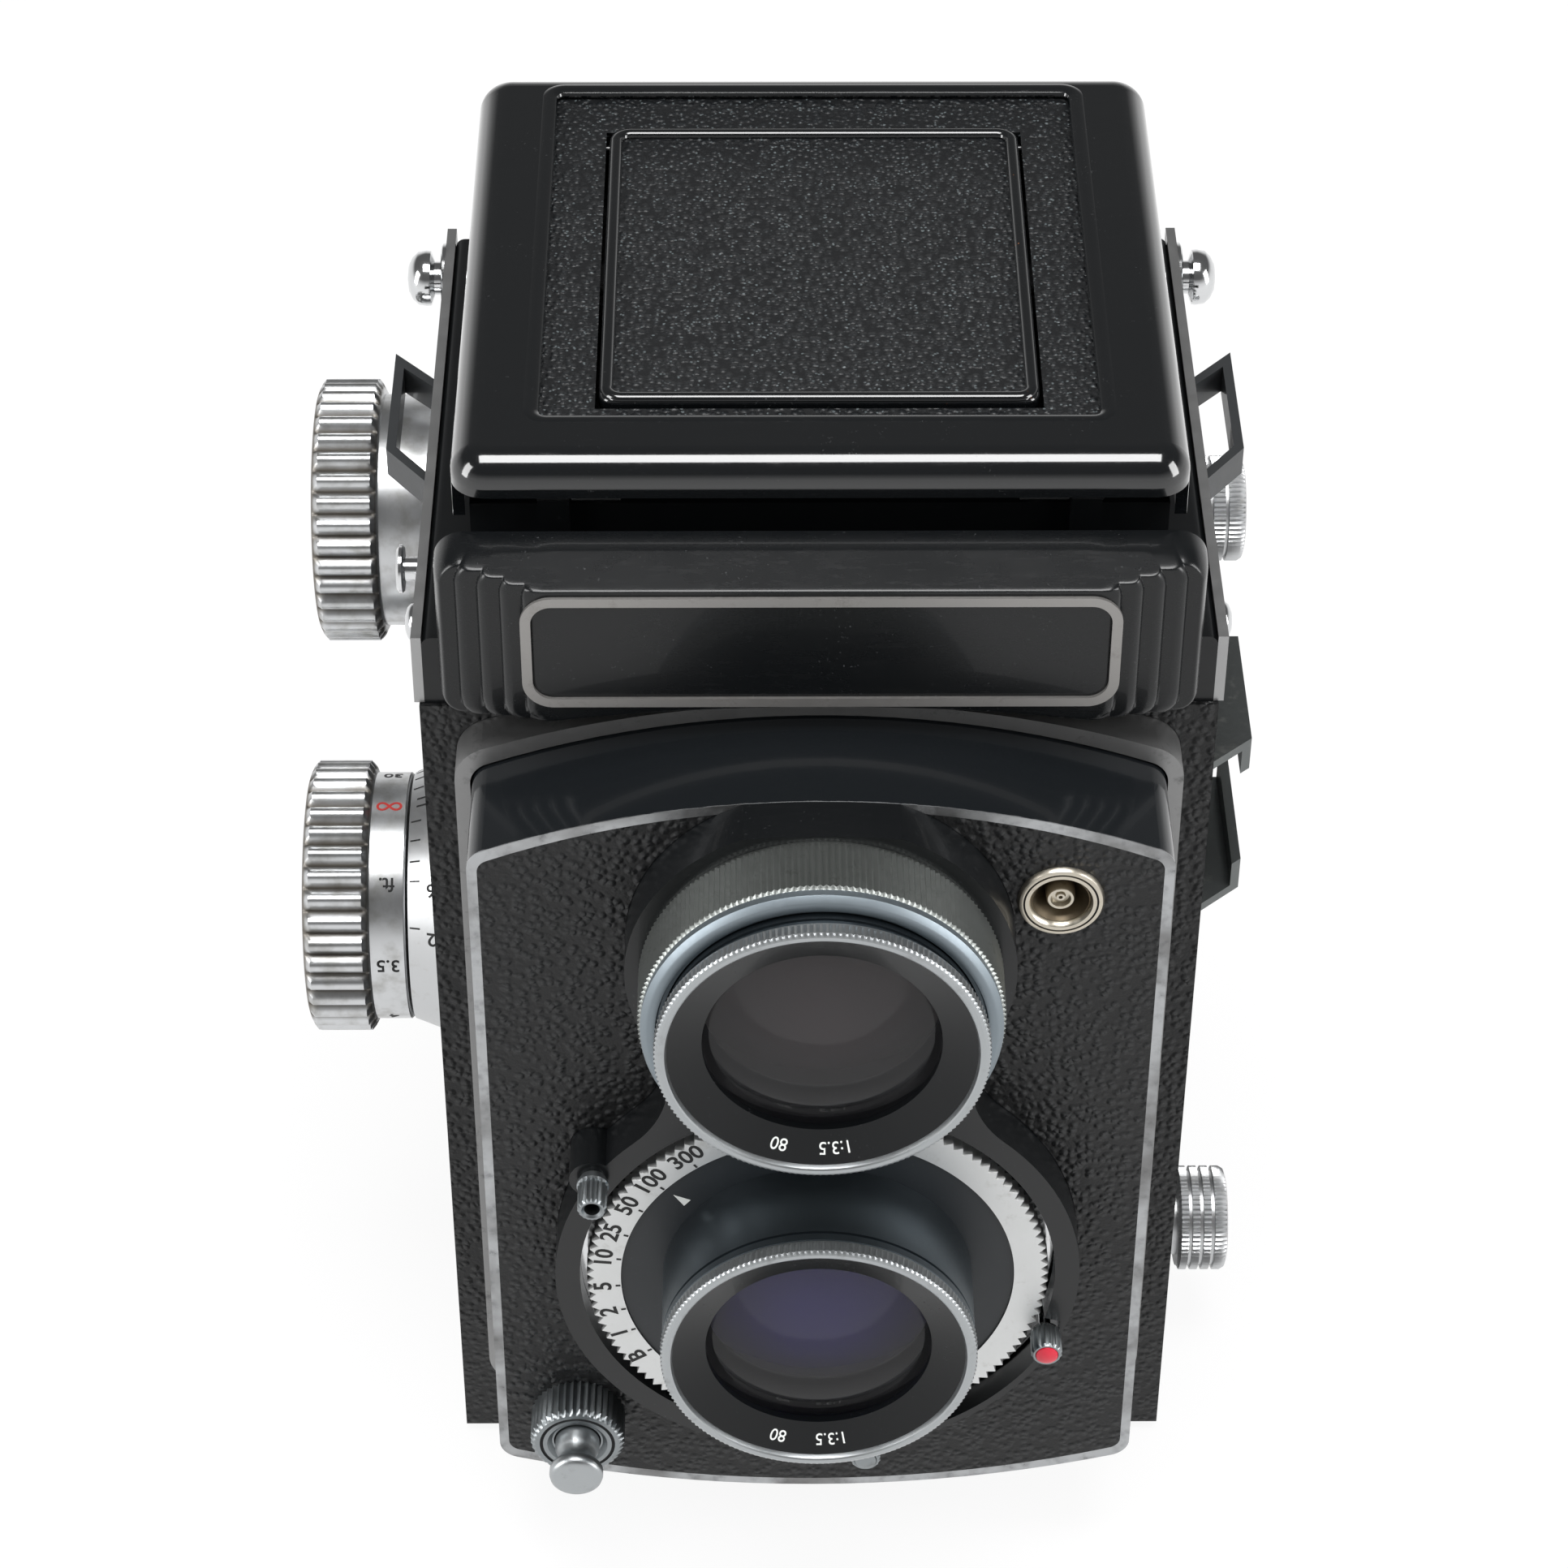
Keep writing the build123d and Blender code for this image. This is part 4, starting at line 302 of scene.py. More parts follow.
def coated(name, middle, edge, radius, axis_z):
    """Inner lens with a coloured coating, and painted light on it: lighter in the middle and towards the
    top, darker as painted shade towards its edge and its lower side.
    """
    finish = Finish(name, Coat_Weight=0.12, Coat_Roughness=0.02, IOR=1.45, Specular_IOR_Level=0.2)
    # Painted shade share: it grows towards the lens edge and towards the bottom of the lens.
    across = finish.axis("X")
    upward = finish.axis("Z") - axis_z
    out = (across * across + upward * upward) * (1 / radius ** 2)
    low = (0.5 - upward * (0.5 / radius)).between(0.1, 1.0)
    colour_now = finish.mix(tone(*middle), tone(*edge), (out * 0.7 + low * 0.3).least(1.0))
    finish.feed(Base_Color=colour_now, Roughness=0.08 + 0.05 * finish.noise(3.0))
    return finish.material


def fluted_metal_soil_and_shade(name, node, depth):
    """Satin aluminium darkened brown down in its flutes, partly soil and partly painted shade, told by the
    distance from the knob's own line.
    """
    finish = Finish(name, Metallic=1.0)
    low, high = span(node)
    near = finish.axis("Y") - (low[1] + high[1]) / 2
    upward = finish.axis("Z") - (low[2] + high[2]) / 2
    radius = (high[2] - low[2]) / 2
    squared = near * near + upward * upward
    out = squared.maths("SQRT", squared)
    outer = finish.axis("X").between(low[0] + 6.8, low[0] + 7.1)
    # Flute valleys: brown soil and painted shade, deepest where the flutes are deepest.
    valley = (1.0 - out.between(radius - depth, radius - 0.25)) * (1.0 - outer)
    valley = valley * out.between(radius - 2.4, radius - 1.2)
    cloud = finish.noise(2.5, 4.0)
    bright = finish.mix(tone(0.6, 0.61, 0.62), tone(0.4, 0.4, 0.39), cloud.between(0.4, 0.75))
    finish.feed(Base_Color=finish.mix(bright, tone(0.12, 0.105, 0.085), valley * 0.85),
            Roughness=0.26 + 0.2 * valley + 0.1 * cloud)
    finish.bump(finish.noise(0.7, 3.0), 0.1, 0.03)
    return finish.material


LID_ENAMEL = enamel("lid_enamel", gloss=0.08, coat=0.8, sheen=0.5)
FLAP_ENAMEL = enamel("flap_enamel", chips=0.8, gloss=0.1, coat=0.8, sheen=0.5)
SHELL_ENAMEL = enamel("shell_enamel", gloss=0.3, coat=0.15)
PLATE_ENAMEL = enamel("nameplate_enamel", gloss=0.22, dust=0.7, coat=0.15, sheen=0.3)
HOUSING_ENAMEL = enamel("housing_enamel", gloss=0.26, dust=0.5, coat=0.15, sheen=0.35)
DIAL_BLACK = matt("dial_black", (0.01, 0.0125, 0.015), 0.36, 0.25)
DEEP_BLACK = matt("deep_black", (0.008, 0.008, 0.009), 0.7)
GLOSS_BLACK = enamel("name_ring_black", gloss=0.14, coat=0.15, dust=0.2, sheen=0.2)
# The last colour of each leatherette is the painted highlight on its pebble tops.
BODY_GRAIN = grained("body_grain", 0.85, 0.26, (0.004, 0.0042, 0.0045), (0.012, 0.0125, 0.013))
BOARD_GRAIN = grained("board_grain", 0.85, 0.26, (0.004, 0.0042, 0.0045), (0.013, 0.014, 0.015))
LID_GRAIN = grained("lid_grain", 0.72, 0.22, (0.003, 0.0034, 0.004), (0.012, 0.014, 0.016), worn=0.8)
SATIN = metal("satin_aluminium", (0.56, 0.57, 0.58), 0.3, soil=0.35)
RIM_METAL = metal("rim_metal", (0.4, 0.42, 0.43), 0.3, stain=(0.2, 0.2, 0.2), soil=0.4)
AGED = metal("aged_aluminium", (0.27, 0.29, 0.3), 0.3, stain=(0.12, 0.12, 0.12), soil=0.5)
COLLAR = metal("collar_metal", (0.3, 0.3, 0.3), 0.4, stain=(0.1, 0.1, 0.1), soil=0.6)
CHROME = metal("chrome_plate", (0.7, 0.71, 0.72), 0.1, soil=0.15, grain=0.06)
RING_SILVER = metal("ring_silver", (0.66, 0.67, 0.67), 0.42, soil=0.25)
BLUE_GREY = metal("blue_grey_metal", (0.1, 0.12, 0.135), 0.3, stain=(0.1, 0.115, 0.13), soil=0.4)
PALE_BLUE = metal("pale_blue_metal", (0.22, 0.255, 0.28), 0.42, stain=(0.25, 0.28, 0.3), soil=0.35)
KNURL_GREY = metal("knurl_grey", (0.26, 0.275, 0.265), 0.36, stain=(0.08, 0.08, 0.075), soil=0.5)
SHOE_GREY = metal("shoe_grey", (0.13, 0.14, 0.14), 0.38, stain=(0.3, 0.3, 0.28), soil=0.35)
NICKEL = metal("worn_nickel", (0.56, 0.52, 0.44), 0.25, stain=(0.25, 0.19, 0.12), soil=0.7)
BROWN_WELL = metal("socket_well", (0.16, 0.13, 0.09), 0.4, stain=(0.05, 0.04, 0.03), soil=0.6)
FRAME_METAL = metal("frame_metal", (0.34, 0.33, 0.32), 0.45, stain=(0.2, 0.19, 0.18), soil=0.5)
STEEL = metal("spring_steel", (0.3, 0.32, 0.35), 0.3)
SILVERED = metal("mirror_silver", (0.9, 0.9, 0.9), 0.02, soil=0.05, grain=0.01)
INK = matt("ink_black", (0.006, 0.006, 0.006), 0.5, 0.0)
WHITE_INK = matt("ink_white", (0.62, 0.64, 0.62), 0.5, 0.0)
RED_INK = matt("ink_red", (0.4, 0.02, 0.015), 0.45, 0.0)
RED_TIP = enamel("red_tip", (0.5, 0.01, 0.03), 0.25, 0.1)
SPOOL_BLACK = matt("spool_black", (0.02, 0.02, 0.02), 0.4)
FRONT_GLASS = clear_glass("front_glass", (0.93, 0.95, 0.96))
LENS_FRONT = lens_front()
SCREEN_GLASS = clear_glass("screen_glass", (0.75, 0.78, 0.78), 0.35)

NODE_FINISH = {
    SHELL_ENAMEL: ("body_shell", "base_plate", "hood_base", "back_door", "window_cover"),
    BODY_GRAIN: ("body_leather", "back_leather"),
    COLLAR: ("lens_collar", "spool_fittings"),
    CHROME: ("tripod_bush", "guide_roller", "back_latch", "cocking_lever", "aperture_lever",
            "release_button"),
    DEEP_BLACK: (
        "inner_walls", "dark_chamber", "shutter_case", "left_leaf", "right_leaf", "rear_leaf",
        "magnifier_frame", "pressure_plate"),
    SILVERED: ("mirror",),
    SCREEN_GLASS: ("ground_glass",),
    FRONT_GLASS: ("magnifier_lens",),
    LENS_FRONT: ("taking_glass", "viewing_glass"),
    BOARD_GRAIN: ("board_leather",),
    HOUSING_ENAMEL: ("shutter_housing", "nameplate_housing"),
    DIAL_BLACK: ("shutter_face",),
    STEEL: ("shutter_blade_1", "shutter_blade_2", "shutter_blade_3", "focus_shaft", "hood_pins"),
    FRAME_METAL: ("nameplate_frame",),
    SATIN: ("focus_scale", "focus_knob", "winding_knob", "upper_pull_knob", "lower_pull_knob",
            "speed_ring"),
    SPOOL_BLACK: ("take_up_spool", "feed_spool"),
    LID_ENAMEL: ("hood_lid",),
    FLAP_ENAMEL: ("finder_flap",),
    LID_GRAIN: ("lid_leather", "flap_leather"),
    NICKEL: ("board_fittings", "back_fittings", "rail_studs", "lens_rims", "lens_name_rings"),
    SHOE_GREY: ("accessory_shoe",),
    BLUE_GREY: ("lens_barrels", "viewing_ring"),
    edged_enamel(): ("lens_board",),
    rail_enamel(): ("strap_rails",),
}


def paint_nodes():
    """Gives every CAD node its finish."""
    for material, nodes in NODE_FINISH.items():
        for node in nodes:
            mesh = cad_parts[node].data
            mesh.materials.clear()
            mesh.materials.append(material)


# Meshes

def piece(name, shells, material, body, replaced=(), sharp=35):
    """One named object from closed shells, each a pair of points in millimetres and faces."""
    mesh = bpy.data.meshes.new(name)
    points = []
    faces = []
    for shell_points, shell_faces in shells:
        first = len(points)
        points.extend((np.asarray(shell_points) * MM).tolist())
        faces.extend(tuple(index + first for index in face) for face in shell_faces)
    mesh.from_pydata(points, [], faces)
    work = bmesh.new()
    work.from_mesh(mesh)
    bmesh.ops.remove_doubles(work, verts=work.verts, dist=1e-7)
    bmesh.ops.recalc_face_normals(work, faces=work.faces)
    work.to_mesh(mesh)
    work.free()
    mesh.shade_smooth()
    mesh.set_sharp_from_angle(angle=radians(sharp))
    mesh.materials.append(material)
    made = bpy.data.objects.new(name, mesh)
    bpy.context.scene.collection.objects.link(made)
    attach(made, body)
    if replaced:
        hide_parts(*replaced)
    return made


def lattice(rows, columns, wrap_rows, wrap_columns):
    """Faces of a grid of points, row after row, joined round where asked."""
    down = np.arange(rows if wrap_rows else rows - 1)
    along = np.arange(columns if wrap_columns else columns - 1)
    row, column = np.meshgrid(down, along, indexing="ij")
    next_row = (row + 1) % rows
    next_column = (column + 1) % columns
    corners = [row * columns + column, row * columns + next_column]
    corners += [next_row * columns + next_column, next_row * columns + column]
    return np.stack(corners, axis=-1).reshape(-1, 4).tolist()


def turned(axis, centre, rows, teeth=0, depth=0.0, wave="round", steps=96, twist=0.0):
    """A profile turned about a line along X or Y.

    Each row is (place along the line, radius, share of the teeth). At angle t the radius is the
    row's radius less depth times its share times a wave that repeats once a tooth: 1 - |cos| of
    half the phase for round crests, a zigzag for sharp ones. The rows run from pole to pole, or
    join up as a loop.
    """
    rows = np.array([row if len(row) == 3 else (row[0], row[1], 0.0) for row in rows])
    count = steps if teeth == 0 else teeth * (10 if wave == "round" else 4)
    angle = np.arange(count) * TAU / count
    lean = twist * (rows[:, 0] - rows[0, 0])
    phase = teeth * (angle[None, :] + lean[:, None])
    if wave == "round":
        valley = 1 - np.abs(np.cos(phase / 2))
    else:
        valley = np.abs((phase / TAU) % 1.0 * 2 - 1)
    radius = rows[:, 1:2] - depth * rows[:, 2:3] * valley
    radius = np.maximum(radius, 0.0)
    along = np.repeat(rows[:, 0:1], count, axis=1)
    first = centre[0] + radius * np.cos(angle)
    second = centre[1] + radius * np.sin(angle)
    order = (along, first, second) if axis == "x" else (first, along, second)
    points = np.stack(order, axis=-1).reshape(-1, 3)
    loop = rows[0, 1] > 0 and rows[-1, 1] > 0
    return points, lattice(len(rows), count, loop, True)


def fronted(rows):
    """Rows given by their stand in front of the body, turned into places along Y."""
    return [(FACE - row[0],) + tuple(row[1:]) for row in rows]


def fitting(name, place, rows, material, replaced=(), teeth=0, depth=0.0, steps=72, sharp=35,
            body="lens_board"):
    """A turned piece that faces front, with sharp knurling where it has teeth."""
    shell = turned("y", place, fronted(rows), teeth, depth, "zigzag", steps)
    piece(name, [shell], material, body, replaced, sharp)


def rounded_outline(half_x, half_y, radius, steps):
    """Closed outline of a rectangle with round corners, and the way out of it at each point."""
    turn = np.linspace(0, pi / 2, steps)
    quarter = np.concatenate([turn + index * pi / 2 for index in range(4)])
    sign_x = np.repeat([1, -1, -1, 1], steps)
    sign_y = np.repeat([1, 1, -1, -1], steps)
    out = np.stack([np.cos(quarter), np.sin(quarter)], axis=-1)
    corner = np.stack([sign_x * (half_x - radius), sign_y * (half_y - radius)], axis=-1)
    return corner + radius * out, out


def bead(outline, out, centre, level, width, height):
    """An oval section carried round a flat outline: out * width * cos + up * height * sin."""
    turn = np.arange(12) * TAU / 12
    flat = outline[:, None, :] + out[:, None, :] * (width * np.cos(turn))[None, :, None]
    rise = np.broadcast_to((height * np.sin(turn))[None, :], flat.shape[:2])
    points = np.stack([flat[..., 0] + centre[0], flat[..., 1] + centre[1], rise + level], axis=-1)
    return points.reshape(-1, 3), lattice(len(outline), len(turn), True, True)


# Words and signs

def lettering(words, height, weight=0.0):
    """Thin solid letters: points (along, up, out) in millimetres about their middle, and faces."""
    curve = bpy.data.curves.new("letters", "FONT")
    curve.body = words
    curve.size = height * 1.38
    curve.extrude = PROUD / 2
    curve.offset = weight
    curve.resolution_u = 4
    curve.align_x = "CENTER"
    curve.align_y = "CENTER"
    holder = bpy.data.objects.new("letters", curve)
    bpy.context.scene.collection.objects.link(holder)
    state = bpy.context.evaluated_depsgraph_get()
    mesh = bpy.data.meshes.new_from_object(holder.evaluated_get(state))
    points = np.empty(len(mesh.vertices) * 3)
    mesh.vertices.foreach_get("co", points)
    faces = [tuple(polygon.vertices) for polygon in mesh.polygons]
    bpy.data.objects.remove(holder)
    bpy.data.curves.remove(curve)
    bpy.data.meshes.remove(mesh)
    return points.reshape(-1, 3), faces


def on_ring(shell, centre, radius, angle, stand_of):
    """Letters bent along a ring that faces front, tops outwards: the angle falls along the line."""
    points, faces = shell
    reach = radius + points[:, 1]
    turn = radians(angle) - points[:, 0] / radius
    stand = stand_of(reach) + points[:, 2] + PROUD / 2
    across = centre[0] + reach * np.cos(turn)
    upward = centre[1] + reach * np.sin(turn)
    return np.stack([across, FACE - stand, upward], axis=-1), faces


def on_barrel(shell, centre, middle_x, angle, radius_of):
    """Letters on a drum that lies along X, reading away from the body, tops towards the front.

    The angle is measured from the front over the top."""
    points, faces = shell
    across = middle_x - points[:, 0]
    radius = radius_of(across) + points[:, 2] + PROUD / 2
    turn = radians(angle) - points[:, 1] / radius
    depth = centre[0] - radius * np.cos(turn)
    height = centre[1] + radius * np.sin(turn)
    return np.stack([across, depth, height], axis=-1), faces


def sign_block(width, height):
    """A thin upright bar or square, as letters are made."""
    half = np.array([width, height, PROUD]) / 2
    corners = [(sx, sy, sz) for sz in (-1, 1) for sx, sy in ((-1, -1), (1, -1), (1, 1), (-1, 1))]
    faces = [(0, 3, 2, 1), (4, 5, 6, 7), (0, 1, 5, 4), (1, 2, 6, 5), (2, 3, 7, 6), (3, 0, 4, 7)]
    return np.array(corners) * half, faces


def infinity_sign(width, stroke):
    """Figure of eight on its side: x = a cos t / (1 + sin t squared), y = that times sin t."""
    turn = np.linspace(0, TAU, 48, endpoint=False)
    x = width / 2 * np.cos(turn) / (1 + np.sin(turn) ** 2)
    y = x * np.sin(turn) * 1.15
    line = np.stack([x, y], axis=-1)
    along = np.roll(line, -1, axis=0) - np.roll(line, 1, axis=0)
    along /= np.linalg.norm(along, axis=1, keepdims=True)
    out = np.stack([-along[:, 1], along[:, 0]], axis=-1)
    section = ((-1, -1), (1, -1), (1, 1), (-1, 1))
    layers = []
    for sideways, lift in section:
        flat = line + out * sideways * stroke / 2
        layers.append(np.column_stack([flat, np.full(len(flat), lift * PROUD / 2)]))
    points = np.stack(layers, axis=1).reshape(-1, 3)
    return points, lattice(len(line), len(section), True, True)


def flat_at(stand):
    """A face at one stand, whatever the radius."""
    return lambda reach: np.full_like(reach, stand)


# Knobs on the left

KNOB_BAND = 7.1
FLUTES = 36
FLUTE_DEPTH = 0.95
SCALE_NUMBERS = (("30", 117), ("15", 152), ("10", 185), ("8", 215), ("6", 250), ("5", 285), ("4", 325),
        ("3.5", 8))


def fluted_knob(name, node, band, barrel_radius, tail):
    """Knob whose band has round flutes with chamfered ends, a dished outer face and a plain barrel."""
    low, high = span(node)
    centre = ((low[1] + high[1]) / 2, (low[2] + high[2]) / 2)
    radius = (high[2] - low[2]) / 2
    outer = low[0]
    inner = outer + band
    rim = radius - FLUTE_DEPTH
    rows = [(outer + 0.6, 0.0), (outer + 0.6, 3.4), (outer + 0.1, 3.9), (outer + 0.1, 5.4),
            (outer + 0.7, 5.9)]
    rows += [(outer + 0.7, rim - 2.4), (outer + 0.1, rim - 1.8), (outer, rim - 0.4, 0.0),
            (outer + 0.15, rim, 0.0)]
    rows += [(outer + 0.35, radius - 0.5, 0.5), (outer + 0.75, radius, 1.0), (outer + 1.2, radius, 1.0)]
    rows += [(inner - 1.2, radius, 1.0), (inner - 0.75, radius, 1.0), (inner - 0.35, radius - 0.5, 0.5)]
    rows += [(inner - 0.15, rim, 0.0), (inner, rim - 0.3), (inner, barrel_radius)]
    rows += tail
    knob = turned("x", centre, rows, FLUTES, FLUTE_DEPTH)
    finish = fluted_metal_soil_and_shade(name + "_metal", node, FLUTE_DEPTH)
    piece(name, [knob], finish, node, (node,))
    return centre


def left_knobs():
    """Focusing knob with its distances, and winding knob with the shaft that goes into the body."""
    inner = span("focus_knob")[1][0]
    barrel = 13.4
    tail = [(inner - 0.2, barrel), (inner, barrel - 0.2), (inner, 0.0)]
    centre = fluted_knob("focus_knob_fluted", "focus_knob", KNOB_BAND, barrel, tail)
    middle = inner - 1.95

    def drum(across):
        return np.full_like(across, barrel)

    words = [
        on_barrel(lettering(text, 1.55, 0.03), centre, middle, angle, drum)
        for text, angle in SCALE_NUMBERS]
    words.append(on_barrel(lettering("ft.", 1.55, 0.03), centre, middle, 47, drum))
    piece("focus_scale_numbers", words, INK, "focus_knob")
    endless = on_barrel(infinity_sign(2.5, 0.26), centre, middle, 87, drum)
    piece("focus_infinity_sign", [endless], RED_INK, "focus_knob")
    inner = span("winding_knob")[1][0]
    shoulder = -39.4
    barrel = 12.6
    tail = [(shoulder - 0.2, barrel), (shoulder, 12.4), (shoulder, 3.0), (-33.05, 3.0), (-33.05, 2.7)]
    tail += [(inner, 2.7), (inner, 0.0)]
    fluted_knob("winding_knob_fluted", "winding_knob", KNOB_BAND, barrel, tail)


def depth_marks():
    """Index, depth of field numbers and ticks on the fixed cone beside the focusing knob."""
    low, high = span("focus_scale")
    centre = ((low[1] + high[1]) / 2, (low[2] + high[2]) / 2)
    wide = (high[2] - low[2]) / 2
    narrow = 13.4
    slope = (wide - narrow) / (high[0] - low[0])

    def cone(across):
        return narrow + (across - low[0]) * slope

    index = 88
    middle = (low[0] + high[0]) / 2
    marks = []
    for text, away in (("16", 44), ("22", 65)):
        for sign in (-1, 1):
            angle = index + sign * away
            marks.append(on_barrel(lettering(text, 1.5, 0.03), centre, middle + 0.75, angle, cone))
            angle = index + sign * (away - 4)
            marks.append(on_barrel(sign_block(1.1, 0.18), centre, low[0] + 0.75, angle, cone))
    for away in (11, 21, 31):
        for sign in (-1, 1):
            marks.append(on_barrel(sign_block(1.1, 0.18), centre, low[0] + 0.75, index + sign * away, cone))
    marks.append(on_barrel(sign_block(2.4, 0.22), centre, middle - 0.4, index + 2.4, cone))
    marks.append(on_barrel(sign_block(2.4, 0.22), centre, middle - 0.4, index - 2.4, cone))
    marks.append(on_barrel(sign_block(0.22, 1.2), centre, middle + 0.8, index, cone))
    piece("depth_of_field_marks", marks, INK, "camera_body")


# Knobs on the right

def pull_knob(name, node, bands, gap):
    """Knob with knurled bands, parted by plain grooves, on a neck and a shaft."""
    low, high = span(node)
    centre = ((low[1] + high[1]) / 2, (low[2] + high[2]) / 2)
    radius = (high[2] - low[2]) / 2
    tip = low[0]
    outer = high[0]
    head = outer - 5.7
    rows = [(tip, 0.0), (tip, 2.85), (tip + 1.5, 2.85), (tip + 1.5, 2.2), (head - 1.3, 2.2),
            (head - 1.3, 4.2)]
    rows += [(head, 4.2), (head, radius - 0.5), (head + 0.3, radius - 0.25, 0.5)]
    pitch = (outer - 0.35 - head - 0.3) / bands
    for band in range(bands):
        start = head + 0.3 + band * pitch
        end = start + pitch - gap
        rows += [(start + 0.05, radius, 1.0), (end - 0.05, radius, 1.0)]
        if band < bands - 1:
            rows += [(end, radius - 0.55, 0.0), (end + gap, radius - 0.55, 0.0)]
    rows += [(outer - 0.25, radius - 0.3, 0.4), (outer - 0.1, radius - 0.75), (outer - 0.1, radius - 1.3)]
    rows += [(outer - 0.3, radius - 1.5), (outer - 0.1, radius - 2.4), (outer, 0.8), (outer, 0.0)]
    knob = turned("x", centre, rows, 64, 0.32, "zigzag")
    piece(name, [knob], SATIN, node, (node,))


# Lens heads

RIM_TEETH = 168
VIEWING_TEETH = 180
RING_TEETH = 120
NAME_BORE = 11.4
NAME_EDGE = 14.8
NAME_FRONT = HEAD_STAND - 0.5
NAME_BACK = HEAD_STAND - 2.0


def name_ring_stand(reach):
    """The name ring is a shallow cone, its front nearer the rim."""
    return NAME_BACK + (reach - NAME_BORE) * (NAME_FRONT - NAME_BACK) / (NAME_EDGE - NAME_BORE)


def lens_heads():
    """Knurled rims, name rings with their plain numbers, barrels, inner lenses and dark linings."""
    rim = [(HEAD_STAND - 0.6, 14.7), (HEAD_STAND - 0.1, 14.9), (HEAD_STAND, 15.05), (HEAD_STAND, 15.45)]
    rim += [(HEAD_STAND - 0.12, 15.7, 0.0), (HEAD_STAND - 0.3, 16.0, 1.0), (HEAD_STAND - 1.35, 16.0, 1.0)]
    rim += [(HEAD_STAND - 1.5, 15.75, 0.0), (HEAD_STAND - 1.7, 15.75), (HEAD_STAND - 1.7, 14.7)]
    heads = (TAKING, VIEWING)
    rims = [turned("y", axis, fronted(rim), RIM_TEETH, 0.26, "zigzag", twist=0.05) for axis in heads]
    piece("lens_rims_knurled", rims, RIM_METAL, "lens_board", ("lens_rims",), 25)
    cone = [(NAME_FRONT, NAME_EDGE), (NAME_BACK, NAME_BORE), (NAME_BACK - 0.8, NAME_BORE),
            (NAME_BACK - 0.8, NAME_EDGE)]
    cones = [turned("y", axis, fronted(cone), steps=160) for axis in heads]
    piece("name_rings", cones, GLOSS_BLACK, "lens_board", ("lens_name_rings",))
    words = []
    line = (NAME_BORE + NAME_EDGE) / 2
    for axis in heads:
        for text, angle in (("1:3.5", -84), ("80", -108)):
            words.append(on_ring(lettering(text, 1.25), axis, line, angle, name_ring_stand))
    piece("name_ring_numbers", words, WHITE_INK, "lens_board")
    taking = barrel_rows(15.8, BOARD_STAND - 1.6)
    viewing = barrel_rows(15.2, BOARD_STAND - 7.5)
    barrels = [turned("y", TAKING, fronted(taking), steps=160),
            turned("y", VIEWING, fronted(viewing), steps=160)]
    piece("lens_barrels_turned", barrels, BLUE_GREY, "lens_board", ("lens_barrels",))
    # Each inner lens: its coating colour in the lit middle, and a darker painted-shade colour for its edge
    # and lower side.
    for name, axis, middle, edge in (
            ("taking_inner_lens", TAKING, (0.04, 0.032, 0.15), (0.008, 0.006, 0.045)),
            ("viewing_inner_lens", VIEWING, (0.05, 0.038, 0.04), (0.014, 0.009, 0.01))):
        inner = [(28.0, 0.0), (27.9, 2.5), (27.6, 5.0), (27.1, 7.5), (26.3, 10.0), (25.7, 11.6),
                (24.5, 11.6), (24.5, 0.0)]
        finish = coated(name + "_coating", middle, edge, 11.6, axis[1])
        piece(name, [turned("y", axis, fronted(inner), steps=96)], finish, "lens_board")
    lining = [(29.0, 13.6), (29.0, 12.7), (25.6, 11.65), (24.4, 11.65), (24.4, 13.6)]
    linings = [turned("y", axis, fronted(lining)) for axis in heads]
    piece("barrel_linings", linings, DEEP_BLACK, "lens_board")


def barrel_rows(radius, back):
    """Tube with a fine groove behind the rim."""
    front = HEAD_STAND - 1.7
    rows = [(back, radius - 1.6), (back, radius), (front - 1.25, radius), (front - 1.2, radius - 0.25)]
    rows += [(front - 0.95, radius - 0.25), (front - 0.9, radius), (front - 0.1, radius),
            (front, radius - 0.15)]
    return rows + [(front, radius - 1.6)]


def viewing_ring():
    """Large fine-knurled ring with a smooth, paler front band."""
    back = HOUSING_STAND
    radius = (VIEW_HIGH[0] - VIEW_LOW[0]) / 2
    length = VIEW_HIGH[1] - VIEW_LOW[1]
    split = back + length - 1.5
    knurled = [(back, 15.3), (back, radius - 0.4), (back + 0.3, radius - 0.3, 0.3),
            (back + 0.6, radius, 1.0)]
    knurled += [(split - 0.3, radius, 1.0), (split - 0.1, radius - 0.3, 0.3), (split, radius - 0.4),
            (split, 15.3)]
    grip = turned("y", VIEWING, fronted(knurled), VIEWING_TEETH, 0.24, "zigzag")
    piece("viewing_ring_knurl", [grip], KNURL_GREY, "lens_board", ("viewing_ring",), 20)
    front = back + length
    smooth = [(split, 15.3), (split, radius - 0.35), (front - 0.7, radius - 0.3),
            (front - 0.15, radius - 0.75)]
    smooth += [(front, radius - 1.0), (front, radius - 1.7), (front - 0.5, radius - 1.9),
            (front - 0.5, 15.3)]
    band = turned("y", VIEWING, fronted(smooth), steps=160)
    piece("viewing_ring_front", [band], PALE_BLUE, "lens_board", ("viewing_ring",))


# Shutter front

LEVER_REACH = 25.0
SPEEDS = (("B", 212), ("1", 202), ("2", 193), ("5", 183), ("10", 172), ("25", 162), ("50", 151),
        ("100", 140), ("300", 127))


